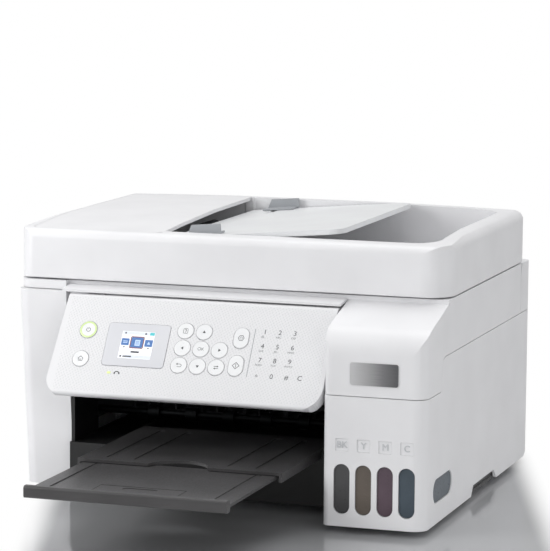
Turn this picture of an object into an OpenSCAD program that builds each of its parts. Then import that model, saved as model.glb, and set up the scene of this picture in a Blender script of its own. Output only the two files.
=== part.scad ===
/* [Body] */
// Width of the printer over its sides
body_w = 375; // [360:1:400]
// Depth from the tank front to the rear wall
body_d = 347; // [335:1:370]
// Wall thickness of the outer mouldings
wall = 2.5; // [2:0.1:3]
// Gap left between neighbouring mouldings
seam = 0.5; // [0.4:0.1:0.8]
// Running clearance of inner pieces
play = 0.4; // [0.3:0.05:0.6]
// Height of the rubber feet
foot_h = 5.5; // [4:0.5:7]
// Radius of the rubber feet
foot_r = 9; // [7:0.5:11]
// Height of the seam between case and scanner unit
seam_z = 138.6; // [134:0.2:142]
// Width of the left front column
column_w = 45.5; // [40:0.5:50]
// Height of the left front column
column_top = 175.5; // [172:0.5:177]
// Front of the left column at its top
column_y = 55; // [52:0.5:57]
// How far the left column's foot stands back
column_lean = 17.5; // [15:0.5:19]
// Corner radius of the case in plan
corner_r = 12; // [8:0.5:15]
// Radius of the rear edges of the case
rear_r = 8; // [6:0.5:10]
// Radius of the rear bottom edge
base_r = 18; // [14:1:22]
// Front of the black sill
sill_y = 62; // [60:0.5:66]
// Top of the black sill
sill_z = 45.6; // [42:0.2:46]
// Thickness of the sill and of inner frames
frame_t = 3; // [2.5:0.1:4]
// Length of the hand notch in the right side
notch_l = 80; // [70:1:95]
// Height of the hand notch above the bottom edge
notch_h = 8.5; // [6:0.5:12]
// Distance from the tank front to the hand notch
notch_y = 149; // [140:1:155]
// Front of the ledge over the panel
ledge_y = 46; // [45:0.5:48]
// Height of the ledge at its back
ledge_z = 180.5; // [180:0.1:181.2]
// Fall of the ledge to its front
ledge_fall = 2.2; // [1.5:0.1:2.6]

/* [Ink tank unit] */
// Width of the tank unit
tank_w = 85.5; // [84:0.5:88]
// Height of the seam under the tank hood
tank_top = 111.5; // [108:0.5:114]
// Pitch of the four tanks
tank_pitch = 18; // [17.6:0.1:18.6]
// Width of one tank
tank_body_w = 16.8; // [15:0.1:17.2]
// Depth of the tanks
tank_body_d = 84; // [70:1:90]
// Top of the tanks
tank_body_top = 96; // [92:0.5:99]
// Width of a front window
window_w = 13.4; // [11:0.1:14]
// Height of a front window
window_h = 40.7; // [35:0.5:46]
// Bottom of the windows
window_z = 15.7; // [13:0.1:20]
// Length of the side window
side_window_l = 58; // [45:1:62]
// Height of the side window
side_window_h = 20; // [16:0.5:24]
// Distance from the tank front to the side window
side_window_y = 25; // [18:0.5:26]
// Bottom of the side window
side_window_z = 22.5; // [18:0.5:26]
// Side of the shallow letter squares
letter_w = 10.6; // [9:0.1:12]
// Bottom of the letter squares
letter_z = 67; // [62:0.5:72]
// Depth of the letter squares
letter_deep = 0.6; // [0.4:0.1:1]
// Radius of a filler neck
neck_r = 6; // [5:0.1:6.5]
// Length of a filler cap from its hinge
cap_l = 27; // [24:0.5:30]
// Height of a filler cap
cap_h = 9; // [7:0.5:11]
// Slope of the hood behind its rounded front in degrees
hood_slope = 15; // [13:0.5:16]
// Radius between the hood's front and its slope
hood_r = 22; // [16:1:24]

/* [Control panel] */
// Lean of the panel from upright in degrees
panel_tilt = 33; // [30:0.5:36]
// Height of the panel's top edge
panel_z = 177.2; // [176.4:0.1:177.6]
// Distance from the tank front to the panel's top edge
panel_y = 45.4; // [44:0.2:46]
// Length of the panel down its slope
panel_l = 93.5; // [90:0.5:98]
// Thickness of the panel
panel_t = 12; // [10:0.5:13]
// Left end of the panel's top edge
panel_x0 = -134; // [-137:0.5:-130]
// How far the bottom left corner stands out
panel_flare = 4.6; // [2:0.2:6]
// Radius of the panel's hinged top edge
panel_top_r = 5.5; // [5:0.1:6]
// Radius of the bottom left corner
panel_r1 = 15; // [10:0.5:18]
// Radius of the bottom right corner
panel_r2 = 20; // [14:0.5:24]
// Width of the screen window
screen_w = 54; // [50:0.5:58]
// Height of the screen window
screen_h = 38.4; // [34:0.2:42]
// Radius of the round buttons
button_r = 7; // [6:0.1:7.4]
// Radius of the power button
power_r = 7.6; // [7:0.1:8.2]
// Pitch of the round buttons across
button_px = 16.1; // [15.4:0.1:17]
// Pitch of the round buttons down the slope
button_py = 15.4; // [14.9:0.1:16.5]
// How far a button stands proud
button_h = 0.6; // [0.5:0.1:1.6]
// Width of the start and stop buttons
pill_w = 13; // [11:0.2:15]
// Height of the start and stop buttons
pill_h = 18.5; // [16:0.5:20]

/* [Output tray] */
// Reach of the tray in front of the tank unit
tray_reach = 160; // [140:1:175]
// Width of the tray's front bar
tray_w = 166; // [150:1:170]
// Middle of the paper path across the printer
path_x = -6; // [-8:0.5:-4]
// Length of the first tray stage
stage1_l = 150; // [140:1:155]
// Front end of the first stage when pulled out
stage1_y = -40; // [-50:1:-34]
// Length of the second tray stage
stage2_l = 128; // [115:1:135]
// Thickness of the tray plates
tray_t = 2.4; // [2:0.1:2.6]
// Height of the front bar
bar_h = 9.6; // [8:0.2:11]
// Depth of the front bar
bar_d = 8; // [6:0.5:10]
// Length of the flip-up paper stop
stop_l = 32; // [24:1:36]
// Width of the paper stop
stop_w = 70; // [50:1:90]

/* [Scanner unit] */
// Top of the scanner frame
scan_top = 183.5; // [182.5:0.1:184]
// Thickness of the scanner box
scan_box_h = 26; // [24:0.5:28]
// Front of the scanner frame
scan_y = 66; // [65.6:0.2:68]
// Rear of the scanner frame
scan_rear = 312; // [308:1:314]
// Length of the glass
glass_w = 300; // [285:1:310]
// Width of the glass
glass_d = 217; // [210:1:222]
// Thickness of the glass
glass_t = 2.8; // [2.4:0.1:3.2]
// Width of the scan carriage
sensor_w = 18; // [14:1:24]
// Height of the scanner unit's hinge axis
scan_hinge_z = 177; // [176:0.1:177.4]
// Distance from the tank front to that axis
scan_hinge_y = 316; // [315:0.1:317]
// Distance of the hinge arms from the middle
hinge_x = 148; // [144:1:152]
// Width of the hinge arms
hinge_w = 16; // [12:1:18]
// Radius of the hinge pins
hinge_r = 3; // [2.5:0.1:3.5]
// Radius of the hinge knuckles
knuckle_r = 5.4; // [5:0.1:5.6]

/* [Lid and document feeder] */
// Underside of the lid
lid_z = 184.8; // [184.4:0.1:185.4]
// Front face of the lid
lid_y = 61; // [59:0.5:63]
// Height of the lid's front top edge
lid_front_z = 223; // [220:0.5:225]
// Height of the lid at its highest
lid_top_z = 233.5; // [231:0.5:235]
// Left front corner radius in plan
lid_r1 = 14; // [10:0.5:18]
// Right front corner radius in plan
lid_r2 = 24; // [14:0.5:28]
// Rear corner radius in plan
lid_r3 = 18; // [12:0.5:22]
// Rounding of the lid's upper edges
lid_edge_r = 9; // [6:0.5:11]
// Distance from the tank front to the lid's hinge axis
lid_hinge_y = 322; // [321:0.5:323]
// Rear of the lid shell
lid_rear = 316; // [313:0.5:317]
// Rear of the hinge cover
cover_rear = 331; // [329:0.5:332]
// Height of the lid's hinge axis
lid_hinge_z = 207; // [205:0.5:209]
// Right edge of the feeder cover
feeder_x1 = -62; // [-68:0.5:-58]
// Thickness of the feeder cover
feeder_t = 3; // [2.4:0.1:4]
// Floor of the output basin
basin_z = 199; // [196:0.5:204]
// Right end of the output basin
basin_x1 = 172; // [160:1:175]
// Front of the output basin
basin_y0 = 78; // [74:0.5:84]
// Rear of the output basin
basin_y1 = 300; // [290:1:303]
// Radius of the basin's upright corners
basin_r = 22; // [14:1:28]
// Slope of the document tray in degrees
dtray_a = 5; // [3:0.5:5]
// Right end of the document tray
dtray_x1 = 92; // [80:1:100]
// Thickness of the document tray
dtray_t = 4; // [3:0.2:5]
// Front of the document tray
dtray_y0 = 80; // [79:0.5:84]
// Rear of the document tray
dtray_y1 = 298; // [292:1:299]
// Height of the document guides
dguide_h = 9; // [6:0.5:11]
// Radius of the document roller
droller_r = 8; // [6:0.5:9]
// Length of the document roller
droller_l = 120; // [90:1:150]

/* [Rear paper feed] */
// Lean of the paper support from upright
feed_tilt = 30; // [28:0.5:32]
// Width of the paper support
support_w = 216; // [205:1:222]
// Length of the paper support
support_l = 120; // [105:1:122]
// Thickness of the paper support
support_t = 3; // [2.6:0.1:3.2]
// Width of the support's extension
ext_w = 78; // [60:1:90]
// Length of the extension
ext_l = 92; // [80:1:96]
// Thickness of the extension
ext_t = 1.8; // [1.4:0.1:2]
// Length of the hopper plate
hopper_l = 72; // [60:1:74]
// Height of the paper guides off the support
guide_h = 11.5; // [8:0.5:13]
// Length of the paper guides
guide_l = 36; // [28:1:40]
// Radius of the pick roller
pick_r = 12; // [10:0.5:13]
// Length of the pick roller's rubber
pick_l = 44; // [30:1:60]

/* [Sockets] */
// Left edge of the mains inlet
inlet_x = -150; // [-156:1:-146]
// Width of the mains inlet
inlet_w = 24; // [22:0.5:27]
// Bottom of the mains inlet
inlet_z = 30; // [27:1:40]
// Height of the mains inlet
inlet_h = 17; // [15:0.5:20]
// Left edge of the socket panel
port_x = 112; // [104:1:116]
// Width of the socket panel
port_w = 52; // [46:1:54]
// Bottom of the socket panel
port_z = 40; // [32:1:50]
// Height of the socket panel
port_h = 20; // [18:0.5:24]

/* [Print mechanism] */
// Width of the print carriage
carriage_w = 86; // [76:1:92]
// Depth of the print carriage
carriage_d = 72; // [66:1:73]
// Height of the print carriage
carriage_h = 70; // [55:1:76]
// Resting place of the carriage from the middle
carriage_x = 118; // [112:1:122]
// Distance from the tank front to the carriage rail
rail_y = 222; // [218:1:226]
// Radius of the carriage rail
rail_r = 4; // [3.5:0.1:4.5]
// Height of the carriage rail
rail_z = 118; // [112:1:124]
// Height of the platen
platen_z = 68; // [67:0.5:70]
// Distance from the tank front to the feed roller
feed_y = 206; // [203:0.5:209]
// Radius of the feed roller
feed_r = 6; // [5:0.2:7]
// Distance from the tank front to the exit roller
exit_y = 133; // [130:1:134]
// Radius of the exit roller's rubbers
exit_r = 6; // [5:0.2:7]
// Thickness of the steel plates
steel_t = 1.6; // [1.2:0.1:2]
// Middle of the capping station across the printer
station_x = 130; // [128:1:134]
// Width of the capping station
station_w = 44; // [36:1:46]
// Half width of the print mechanism
mech_x = 166; // [162:1:170]
// Number of teeth on the feed gear
gear_n = 32; // [20:1:40]
// Radius of the feed gear
gear_r = 20; // [16:0.5:22]

/* [Hidden] */
$fn = 48;

// Overall limits in plan, x right, y back from the tank front
xr = body_w / 2;
xl = -xr;
y_mid = (body_d - tray_reach) / 2;
tank_x0 = xr - tank_w;
col_x1 = xl + column_w;
floor_z = foot_h + wall;
skirt_z = seam_z + seam;
col_back = column_y + 14.5;
lean = atan(column_lean / (column_top - foot_h));

mech_z = sill_z + 4;
deck_y1 = rail_y - 2;

// Rear tower of the case, which carries the scanner hinge
tower_y = scan_rear + 0.6;
tower_z = scan_top - 0.5;

// Scanner box
box_z = scan_top - scan_box_h;
hood_back = scan_top - 3.6;
hood_apex = hood_back - scan_y * tan(hood_slope);
glass_x0 = -glass_w / 2;
glass_y0 = scan_y + 20;
glass_y1 = glass_y0 + glass_d;
glass_top = scan_top - 0.7;
rail_scan_z = box_z + 6;

// Places of the four tanks
tank_mid = tank_x0 + tank_w / 2 + 0.5;
deck_z = tank_top - 5;
ring_h = 4.5;
neck_y = 30;
cap_y = neck_y + 20;
cap_z = deck_z + ring_h + 3;

// Document feeder
droller_x = feeder_x1 - 22;
droller_z = lid_front_z - feeder_t - droller_r - 4;
dtray_x0 = feeder_x1 + 8;
dtray_z = lid_front_z - 0.5;
dtray_pin_z = dtray_z - dtray_t - 0.4;

// Panel hinge, in the panel's own frame
pin_y = panel_y - panel_top_r * sin(panel_tilt) + panel_top_r * cos(panel_tilt);
pin_z = panel_z - panel_top_r * cos(panel_tilt) - panel_top_r * sin(panel_tilt);
panel_x1 = tank_x0 - 1.5;
key_x = -9.1;
key_v = 45.8;
pill_x = 23.6;

// Tray levels
rail_h = 5.4;
stage1_z = sill_z + play + rail_h;
stage2_z = stage1_z - play - tray_t;
tray_x0 = path_x - tray_w / 2;
tray_x1 = path_x + tray_w / 2;

stop_y = bar_d - tray_reach + 2.2;

// Rear feed, measured along and across the support
hopper_m = 5;
hopper_s = -56;
pick_s = 5 - support_l;
pick_m = hopper_m + 2.5 + 3.5 + pick_r;
pick_y = body_d - 4.5 + pick_s * sin(feed_tilt) - pick_m * cos(feed_tilt);
pick_z = tower_z + pick_s * cos(feed_tilt) + pick_m * sin(feed_tilt);
chute_s = -support_l - 14;
toe_y1 = body_d - 4.5 + chute_s * sin(feed_tilt) + 6;
toe_z = tower_z + chute_s * cos(feed_tilt) - 1;
guide_s = hopper_s + 4;

// Roller levels
feed_z = platen_z - feed_r + 0.5;
exit_z = platen_z - exit_r + 0.2;

// Corner b of a line a-b-c, rounded by r
function unit(v) = v / norm(v);
function fillet(a, b, c, r, n) =
    let (u = unit(a - b), w = unit(c - b), h = acos(u * w) / 2,
        m = b + unit(u + w) * r / sin(h),
        s = b + u * r / tan(h) - m, e = b + w * r / tan(h) - m,
        t = atan2(s[1], s[0]), d = atan2(e[1], e[0]) - t,
        k = d > 180 ? d - 360 : d < -180 ? d + 360 : d)
    [for (i = [0 : n]) m + r * [cos(t + k * i / n), sin(t + k * i / n)]];
function xy(p) = [p[0], p[1]];
function soften(p, n) =
    [for (i = [0 : len(p) - 1])
        each (len(p[i]) > 2
            ? fillet(xy(p[(i + len(p) - 1) % len(p)]), xy(p[i]), xy(p[(i + 1) % len(p)]), p[i][2], n)
            : [xy(p[i])])];
function tank_x(i) = tank_mid + (i - 1.5) * tank_pitch;

// Outline through corners [x, y, radius]
module outline(p, n = 6) polygon(soften(p, n));
// Outline extruded upright, across the printer (y, z) or front to back (x, z)
module upright(z0, z1) translate([0, 0, z0]) linear_extrude(z1 - z0) children();
module across(x0, x1) translate([x0, 0, 0]) rotate([90, 0, 90]) linear_extrude(x1 - x0) children();
module along(y0, y1) translate([0, y1, 0]) rotate([90, 0, 0]) linear_extrude(y1 - y0) children();
module block(x0, x1, y0, y1, z0, z1) translate([x0, y0, z0]) cube([x1 - x0, y1 - y0, z1 - z0]);
module rod_x(x0, x1, y, z, r) translate([x0, y, z]) rotate([0, 90, 0]) cylinder(h = x1 - x0, r = r);
module rod_y(y0, y1, x, z, r) translate([x, y1, z]) rotate([90, 0, 0]) cylinder(h = y1 - y0, r = r);
// Upright stadium, w wide and h high over its round ends
module stadium(w, h) {
    square([w, h - w], center = true);
    translate([0, (h - w) / 2]) circle(w / 2);
    translate([0, (w - h) / 2]) circle(w / 2);
}
// Rounded rectangle from corner to corner
module plate2d(x0, x1, y0, y1, r) {
    translate([x0 + r, y0]) square([x1 - x0 - 2 * r, y1 - y0]);
    translate([x0, y0 + r]) square([x1 - x0, y1 - y0 - 2 * r]);
    for (x = [x0 + r, x1 - r], y = [y0 + r, y1 - r]) translate([x, y]) circle(r);
}
// The panel's own frame: x right, y up the slope, z out of the face
module on_panel() translate([0, panel_y, panel_z]) rotate([90 - panel_tilt, 0, 0]) children();
// The rear feed's own frame: y up the support, z to the front
module on_feed() translate([0, body_d - 4.5, tower_z]) rotate([90 - feed_tilt, 0, 0]) children();
// Everything stands with its middle over the origin
module place() translate([0, -y_mid, 0]) children();

// Outer shape of the case, with its leaning left column
module case_form(t) {
    intersection() {
        translate([0, column_y, column_top]) rotate([lean, 0, 0]) upright(-200, 40)
            outline([[xl + t, t, corner_r - t], [xr - t, t], [xr - t, 500], [xl + t, 500]]);
        upright(foot_h - 1, scan_top + 1)
            outline([[xl + t, 20], [xr - t, 20], [xr - t, body_d - t, rear_r - t],
                [xl + t, body_d - t, rear_r - t]]);
        children();
    }
}

module lower_case() color("white") {
    difference() {
        case_form(0) union() {
            // Column, left side, floor, rear wall and rear tower
            block(xl, col_x1, 20, col_back, seam_z - 1, column_top);
            block(xl, col_x1, 20, column_y + column_lean + 16, foot_h, seam_z);
            block(xl, xl + wall, 20, body_d, foot_h, seam_z);
            block(xl, xr - wall - 0.3, sill_y + frame_t + 0.1, body_d - base_r - 2, foot_h, floor_z);
            block(xl, xr, body_d - wall, body_d, foot_h + base_r + 2, tower_z);
            across(xl, xr - wall - 0.3) outline([[body_d - base_r - 2.1, foot_h], [body_d, foot_h, base_r],
                [body_d, foot_h + base_r + 2.1], [body_d - wall, foot_h + base_r + 2.1],
                [body_d - wall, floor_z, base_r - wall], [body_d - base_r - 2.1, floor_z]]);
            block(xl, xl + rear_r + 2, body_d - rear_r - 2, body_d, foot_h + base_r, tower_z);
            block(xr - rear_r - 2, xr, body_d - rear_r - 2, body_d, seam_z + seam, tower_z);
            for (s = [-1, 1]) across(s < 0 ? xl : xr - 58, s < 0 ? xl + 58 : xr)
                outline([[tower_y, skirt_z], [tower_y, scan_hinge_z - 4], [tower_y + 4, tower_z],
                    [body_d, tower_z, rear_r - 2], [body_d, skirt_z]]);
        }
        // The column and the tower are hollow
        case_form(wall) union() {
            block(xl, col_x1 - wall, 20, scan_y - 1.2 - wall, seam_z - 8, column_top - wall);
            block(xl, col_x1 - wall, 20, column_y + column_lean + 17, floor_z + 0.4, seam_z - wall);
            for (s = [-1, 1]) across(s < 0 ? xl : xr - 58 + wall, s < 0 ? xl + 58 - wall : xr)
                outline([[tower_y + wall, skirt_z - 2], [tower_y + wall, scan_hinge_z - 6],
                    [tower_y + wall + 5, tower_z - wall], [body_d - wall, tower_z - wall],
                    [body_d - wall, skirt_z - 2]]);
            block(xl, xl + rear_r + 2, body_d - rear_r - 2, body_d - wall, floor_z, skirt_z);
        }
        // Behind the column's upper end the scanner box swings past
        block(xl - 1, col_x1 + 1, scan_y - 1.2, col_back + 1, box_z - 1, column_top + 1);
        // The tank unit's side cover takes the right rear corner
        block(xr - rear_r - 2 - seam, xr + 1, body_d - rear_r - 2 - seam, body_d + 1, foot_h - 1, skirt_z);
        // Pockets for the scanner unit's hinge arms
        for (s = [-1, 1]) translate([s * hinge_x, 0, 0])
            block(-hinge_w / 2 - 1, hinge_w / 2 + 1, tower_y - 1, scan_hinge_y + knuckle_r + 1,
                scan_hinge_z - 12, scan_top);
        // Openings for the mains inlet and the sockets
        block(inlet_x, inlet_x + inlet_w, body_d - wall - 1, body_d + 1, inlet_z, inlet_z + inlet_h);
        block(port_x, port_x + port_w, body_d - wall - 1, body_d + 1, port_z, port_z + port_h);
    }
    // Hinge pins, moulded with the tower
    for (s = [-1, 1]) translate([s * hinge_x, 0, 0])
        rod_x(-hinge_w / 2 - 1.2, hinge_w / 2 + 1.2, scan_hinge_y, scan_hinge_z, hinge_r);
    // Posts that carry the mechanism and the tank unit's inner edge
    for (x = [-mech_x + 6, mech_x - 6]) for (y = [exit_y, rail_y + 4])
        translate([x, y, floor_z - 0.1]) cylinder(h = mech_z - floor_z + 0.1 - 0.05, r = 4);
    for (x = [path_x - support_w / 2 + 10, path_x + support_w / 2 - 10])
        translate([x, toe_y1 - 16, floor_z - 0.1]) cylinder(h = toe_z - 2.5 - floor_z, r = 5);
}

module sill_frame() color("#1c1c1d") {
    // Front wall, sill and the deck that the tray runs on
    block(col_x1 + 0.3, tank_x0 - 0.3, sill_y, sill_y + frame_t, foot_h + 1, sill_z);
    block(col_x1 + 0.3, tank_x0 - 0.3, sill_y, deck_y1, sill_z - frame_t, sill_z);
    block(col_x1 + 0.3, tank_x0 - 0.3, deck_y1 - frame_t, deck_y1, floor_z, sill_z);
    // Inner cheeks beside the opening
    for (x = [col_x1 + 0.3, tank_x0 - 0.3 - frame_t])
        block(x, x + frame_t, sill_y + 4, exit_y - 14, sill_z - 1, box_z - 1);
    // Runners at both sides of the tray
    for (s = [-1, 1]) translate([path_x + s * (tray_w / 2 + 4 + play + 1), 0, 0])
        block(-1, 1, sill_y, deck_y1, sill_z - 0.5, stage1_z + tray_t - 1);
}

module ledge_beam() color("white") {
    across(col_x1 + 0.3, tank_x0 - 0.3) polygon([[ledge_y, ledge_z - ledge_fall],
        [lid_y, ledge_z], [scan_y - 1, ledge_z], [scan_y - 1, pin_z - 6],
        [scan_y - 1 - wall, pin_z - 6], [scan_y - 1 - wall, ledge_z - wall],
        [lid_y, ledge_z - wall], [ledge_y, ledge_z - ledge_fall - 1.8]]);
    // Ribs under the ledge
    for (i = [0 : 4]) translate([col_x1 + 30 + i * 46, 0, 0])
        across(0, 2) polygon([[scan_y - 1 - wall / 2, ledge_z - wall / 2],
            [scan_y - 1 - wall / 2, pin_z - 3], [pin_y + panel_top_r + 6, ledge_z - 3.4]]);
    // Lugs that carry the panel's pins
    for (s = [-1, 1]) translate([lug_x(s), 0, 0]) difference() {
        across(-2.6, 2.6) union() {
            translate([pin_y, pin_z]) circle(3.6);
            polygon([[pin_y, pin_z + 3.6], [scan_y - 1 - wall / 2, pin_z + 4],
                [scan_y - 1 - wall / 2, pin_z - 5], [pin_y, pin_z - 3.6]]);
        }
        rod_x(-4, 4, pin_y, pin_z, 1.8 + 0.25);
    }
}

// Side profile of the tank unit and of the right side, below the long seam
module side_profile() outline([[-1, foot_h], [-1, tank_top], [44, tank_top], [51, seam_z - 1.6],
    [58, seam_z], [body_d, seam_z], [body_d, foot_h, base_r],
    [notch_y + notch_l + 5, foot_h], [notch_y + notch_l - 5, foot_h + notch_h],
    [notch_y + 5, foot_h + notch_h], [notch_y - 2, foot_h]]);

module tank_housing() color("white") {
    difference() {
        intersection() {
            upright(foot_h, seam_z) outline([[tank_x0, 0, 6], [xr, 0, corner_r],
                [xr, body_d, rear_r], [tank_x0, body_d]]);
            across(tank_x0, xr + 1) side_profile();
        }
        // Room for the tanks, open at the top
        upright(floor_z, seam_z + 1) outline([[tank_x0 + wall, wall, 4], [xr - wall, wall, corner_r - wall],
            [xr - wall, sill_y + frame_t + 1], [tank_x0 + wall, sill_y + frame_t + 1]]);
        // Behind the tanks only the side cover goes on
        upright(foot_h - 1, seam_z + 1) outline([[tank_x0 - 1, sill_y + frame_t - 0.2],
            [xr - wall, sill_y + frame_t - 0.2],
            [xr - wall, body_d - wall, rear_r - wall], [xr - rear_r - 2, body_d - wall],
            [xr - rear_r - 2, body_d + 1], [tank_x0 - 1, body_d + 1]]);
        // Windows, letter squares and the side window
        for (i = [0 : 3]) {
            along(-1, wall + 1) translate([tank_x(i), window_z + window_h / 2]) stadium(window_w, window_h);
            block(tank_x(i) - letter_w / 2, tank_x(i) + letter_w / 2, -1, letter_deep,
                letter_z, letter_z + letter_w - 0.6);
        }
        across(xr - wall - 1, xr + 1) translate([side_window_y + side_window_l / 2,
            side_window_z + side_window_h / 2]) rotate(90) stadium(side_window_h, side_window_l);
    }
}

// A tank with its window pane, neck and bore
module tank(i) {
    x = tank_x(i);
    w = tank_body_w / 2;
    difference() {
        union() {
            upright(floor_z + 0.3, tank_body_top)
                plate2d(x - w, x + w, wall + 1.1, wall + 0.5 + tank_body_d, 2);
            along(1, wall + 1.6) translate([x, window_z + window_h / 2])
                stadium(window_w - 0.8, window_h - 0.8);
            translate([x, neck_y, tank_body_top - 1])
                cylinder(h = deck_z + ring_h - 1.2 - tank_body_top, r = neck_r - play);
            children();
        }
        translate([x, neck_y, tank_body_top - 10]) cylinder(h = 40, r = neck_r - play - 1.6);
    }
}
module tank_black() color("#454546") tank(0);
module tank_yellow() color("#5f5a50") tank(1);
module tank_magenta() color("#5c4d57") tank(2);
module tank_cyan() color("#4d5860") tank(3)
    across(tank_x(3) + tank_body_w / 2 - 1, xr - 0.9) translate([side_window_y + side_window_l / 2,
        side_window_z + side_window_h / 2]) rotate(90) stadium(side_window_h - 0.8, side_window_l - 0.8);

module filler_deck() color("#9aa3ab") {
    difference() {
        union() {
            block(tank_x0 + wall + 0.3, xr - wall - 0.3, corner_r, wall + tank_body_d, deck_z - 3, deck_z);
            for (i = [0 : 3]) translate([tank_x(i), neck_y, deck_z - 1]) cylinder(h = ring_h + 1, r = neck_r + 1.8);
            // Lugs beside each cap's hinge
            for (i = [0 : 3], s = [-1, 1]) translate([tank_x(i) + s * (tank_pitch / 2 - 2.6), 0, 0])
                across(-1.2, 1.2) union() {
                    translate([cap_y, cap_z]) circle(3);
                    translate([cap_y - 3, deck_z - 1]) square([6, cap_z - deck_z + 1]);
                }
        }
        for (i = [0 : 3]) translate([tank_x(i), neck_y, deck_z - 4]) cylinder(h = 20, r = neck_r);
        rod_x(tank_x(0) - tank_pitch, tank_x(3) + tank_pitch, cap_y, cap_z, 1.5 + 0.25);
    }
    // Legs that stand on the side walls' ribs
    for (x = [tank_x0 + wall + 0.3, xr - wall - 3.3])
        block(x, x + 3, wall + tank_body_d - 3, wall + tank_body_d, floor_z + 0.3, deck_z - 2.9);
}

// A cap that seals a neck and turns on its pins
module cap(i) {
    x = tank_x(i);
    w = tank_pitch / 2 - 1;
    difference() {
        union() {
            upright(deck_z + ring_h + 0.3, deck_z + ring_h + cap_h)
                plate2d(x - w, x + w, cap_y - cap_l - 4, cap_y - 4, 3);
            block(x - w + 3.2, x + w - 3.2, cap_y - 5, cap_y, cap_z - 1, cap_z + 3);
            rod_x(x - w + 3.2, x + w - 3.2, cap_y, cap_z, 3);
            translate([x, neck_y, deck_z + ring_h - 1.6]) cylinder(h = 4, r = neck_r - play - 2.6);
        }
        // Finger hollow on top
        translate([x, cap_y - cap_l / 2 - 8, deck_z + ring_h + cap_h + 16]) sphere(17.5);
    }
    rod_x(x - w + 0.7, x + w - 0.7, cap_y, cap_z, 1.5);
}
module cap_black() color("#2b2b2d") cap(0);
module cap_yellow() color("#d8c24a") cap(1);
module cap_magenta() color("#a64b78") cap(2);
module cap_cyan() color("#4b89a8") cap(3);

module feet() color("#3a3a3c") {
    for (p = [[xl + 26, 90], [tank_x0 + 20, 30], [xl + 26, body_d - 40], [xr - 30, body_d - 40]])
        translate([p[0], p[1], 0]) {
            cylinder(h = 1, r1 = foot_r - 1, r2 = foot_r);
            translate([0, 0, 1]) cylinder(h = foot_h - 1, r = foot_r);
        }
}

module chassis_frame() color("#b9bcbe") {
    // Rear plate with its folded top, and two side plates with roller holes
    difference() {
        block(-mech_x, mech_x, rail_y + 10, rail_y + 10 + steel_t, platen_z + 6, box_z - 6);
        rod_y(rail_y, rail_y + 20, mech_x - 22, rail_z + 18.1, 2.4);
        for (i = [-3 : 2]) block(i * 44 + 8, i * 44 + 36, rail_y, rail_y + 20, platen_z + 16, platen_z + 34);
    }
    block(-mech_x, mech_x, rail_y + 2, rail_y + 10 + 0.1, box_z - 6 - steel_t, box_z - 6);
    for (x = [-mech_x - steel_t, mech_x]) difference() {
        across(x, x + steel_t) difference() {
            outline([[exit_y - 14, mech_z], [exit_y - 14, platen_z + 22, 6],
                [rail_y - 20, box_z - 20, 14], [rail_y - 6, box_z - 6, 3],
                [rail_y + 62, box_z - 6, 6], [rail_y + 62, mech_z]]);
            translate([rail_y + 24, rail_z]) circle(9);
            translate([(exit_y + feed_y) / 2, platen_z + 20]) circle(6);
        }
        rod_x(x - 1, x + steel_t + 1, feed_y, feed_z, 4 + play);
        rod_x(x - 1, x + steel_t + 1, exit_y, exit_z, 3 + play);
        rod_x(x - 1, x + steel_t + 1, pick_y, pick_z, 4 + play);
    }
    // Feet that stand on the case's posts
    for (x = [-mech_x - 0.1, mech_x - 12])
        block(x, x + 12.1, exit_y - 8, rail_y + 12, mech_z, mech_z + steel_t);
    // The carriage rail
    rod_x(-mech_x - 0.1, mech_x + 0.1, rail_y, rail_z, rail_r);
}

module drive_belt() color("#232324") {
    // A flat loop round the motor's pinion and the idler
    for (z = [rail_z + 14, rail_z + 21])
        block(-mech_x + 16, mech_x - 22, rail_y + 3.5, rail_y + 8.5, z, z + 1.2);
    for (x = [-mech_x + 16, mech_x - 22]) difference() {
        rod_y(rail_y + 3.5, rail_y + 8.5, x, rail_z + 18.1, 4.1);
        rod_y(rail_y + 3, rail_y + 9, x, rail_z + 18.1, 2.9);
        block(x < 0 ? x : x - 5, x < 0 ? x + 5 : x, rail_y + 3, rail_y + 9, rail_z + 13, rail_z + 23);
    }
    // The idler
    rod_y(rail_y + 3.2, rail_y + 9.9, -mech_x + 16, rail_z + 18.1, 2.6);
}

module carriage_motor() color("#8d9093") {
    rod_y(rail_y + 10 + steel_t + 0.3, rail_y + 46, mech_x - 22, rail_z + 18.1, 14);
    rod_y(rail_y + 3.2, rail_y + 9.9, mech_x - 22, rail_z + 18.1, 2.6);
    rod_y(rail_y + 9, rail_y + 13, mech_x - 22, rail_z + 18.1, 1.8);
}

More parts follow.
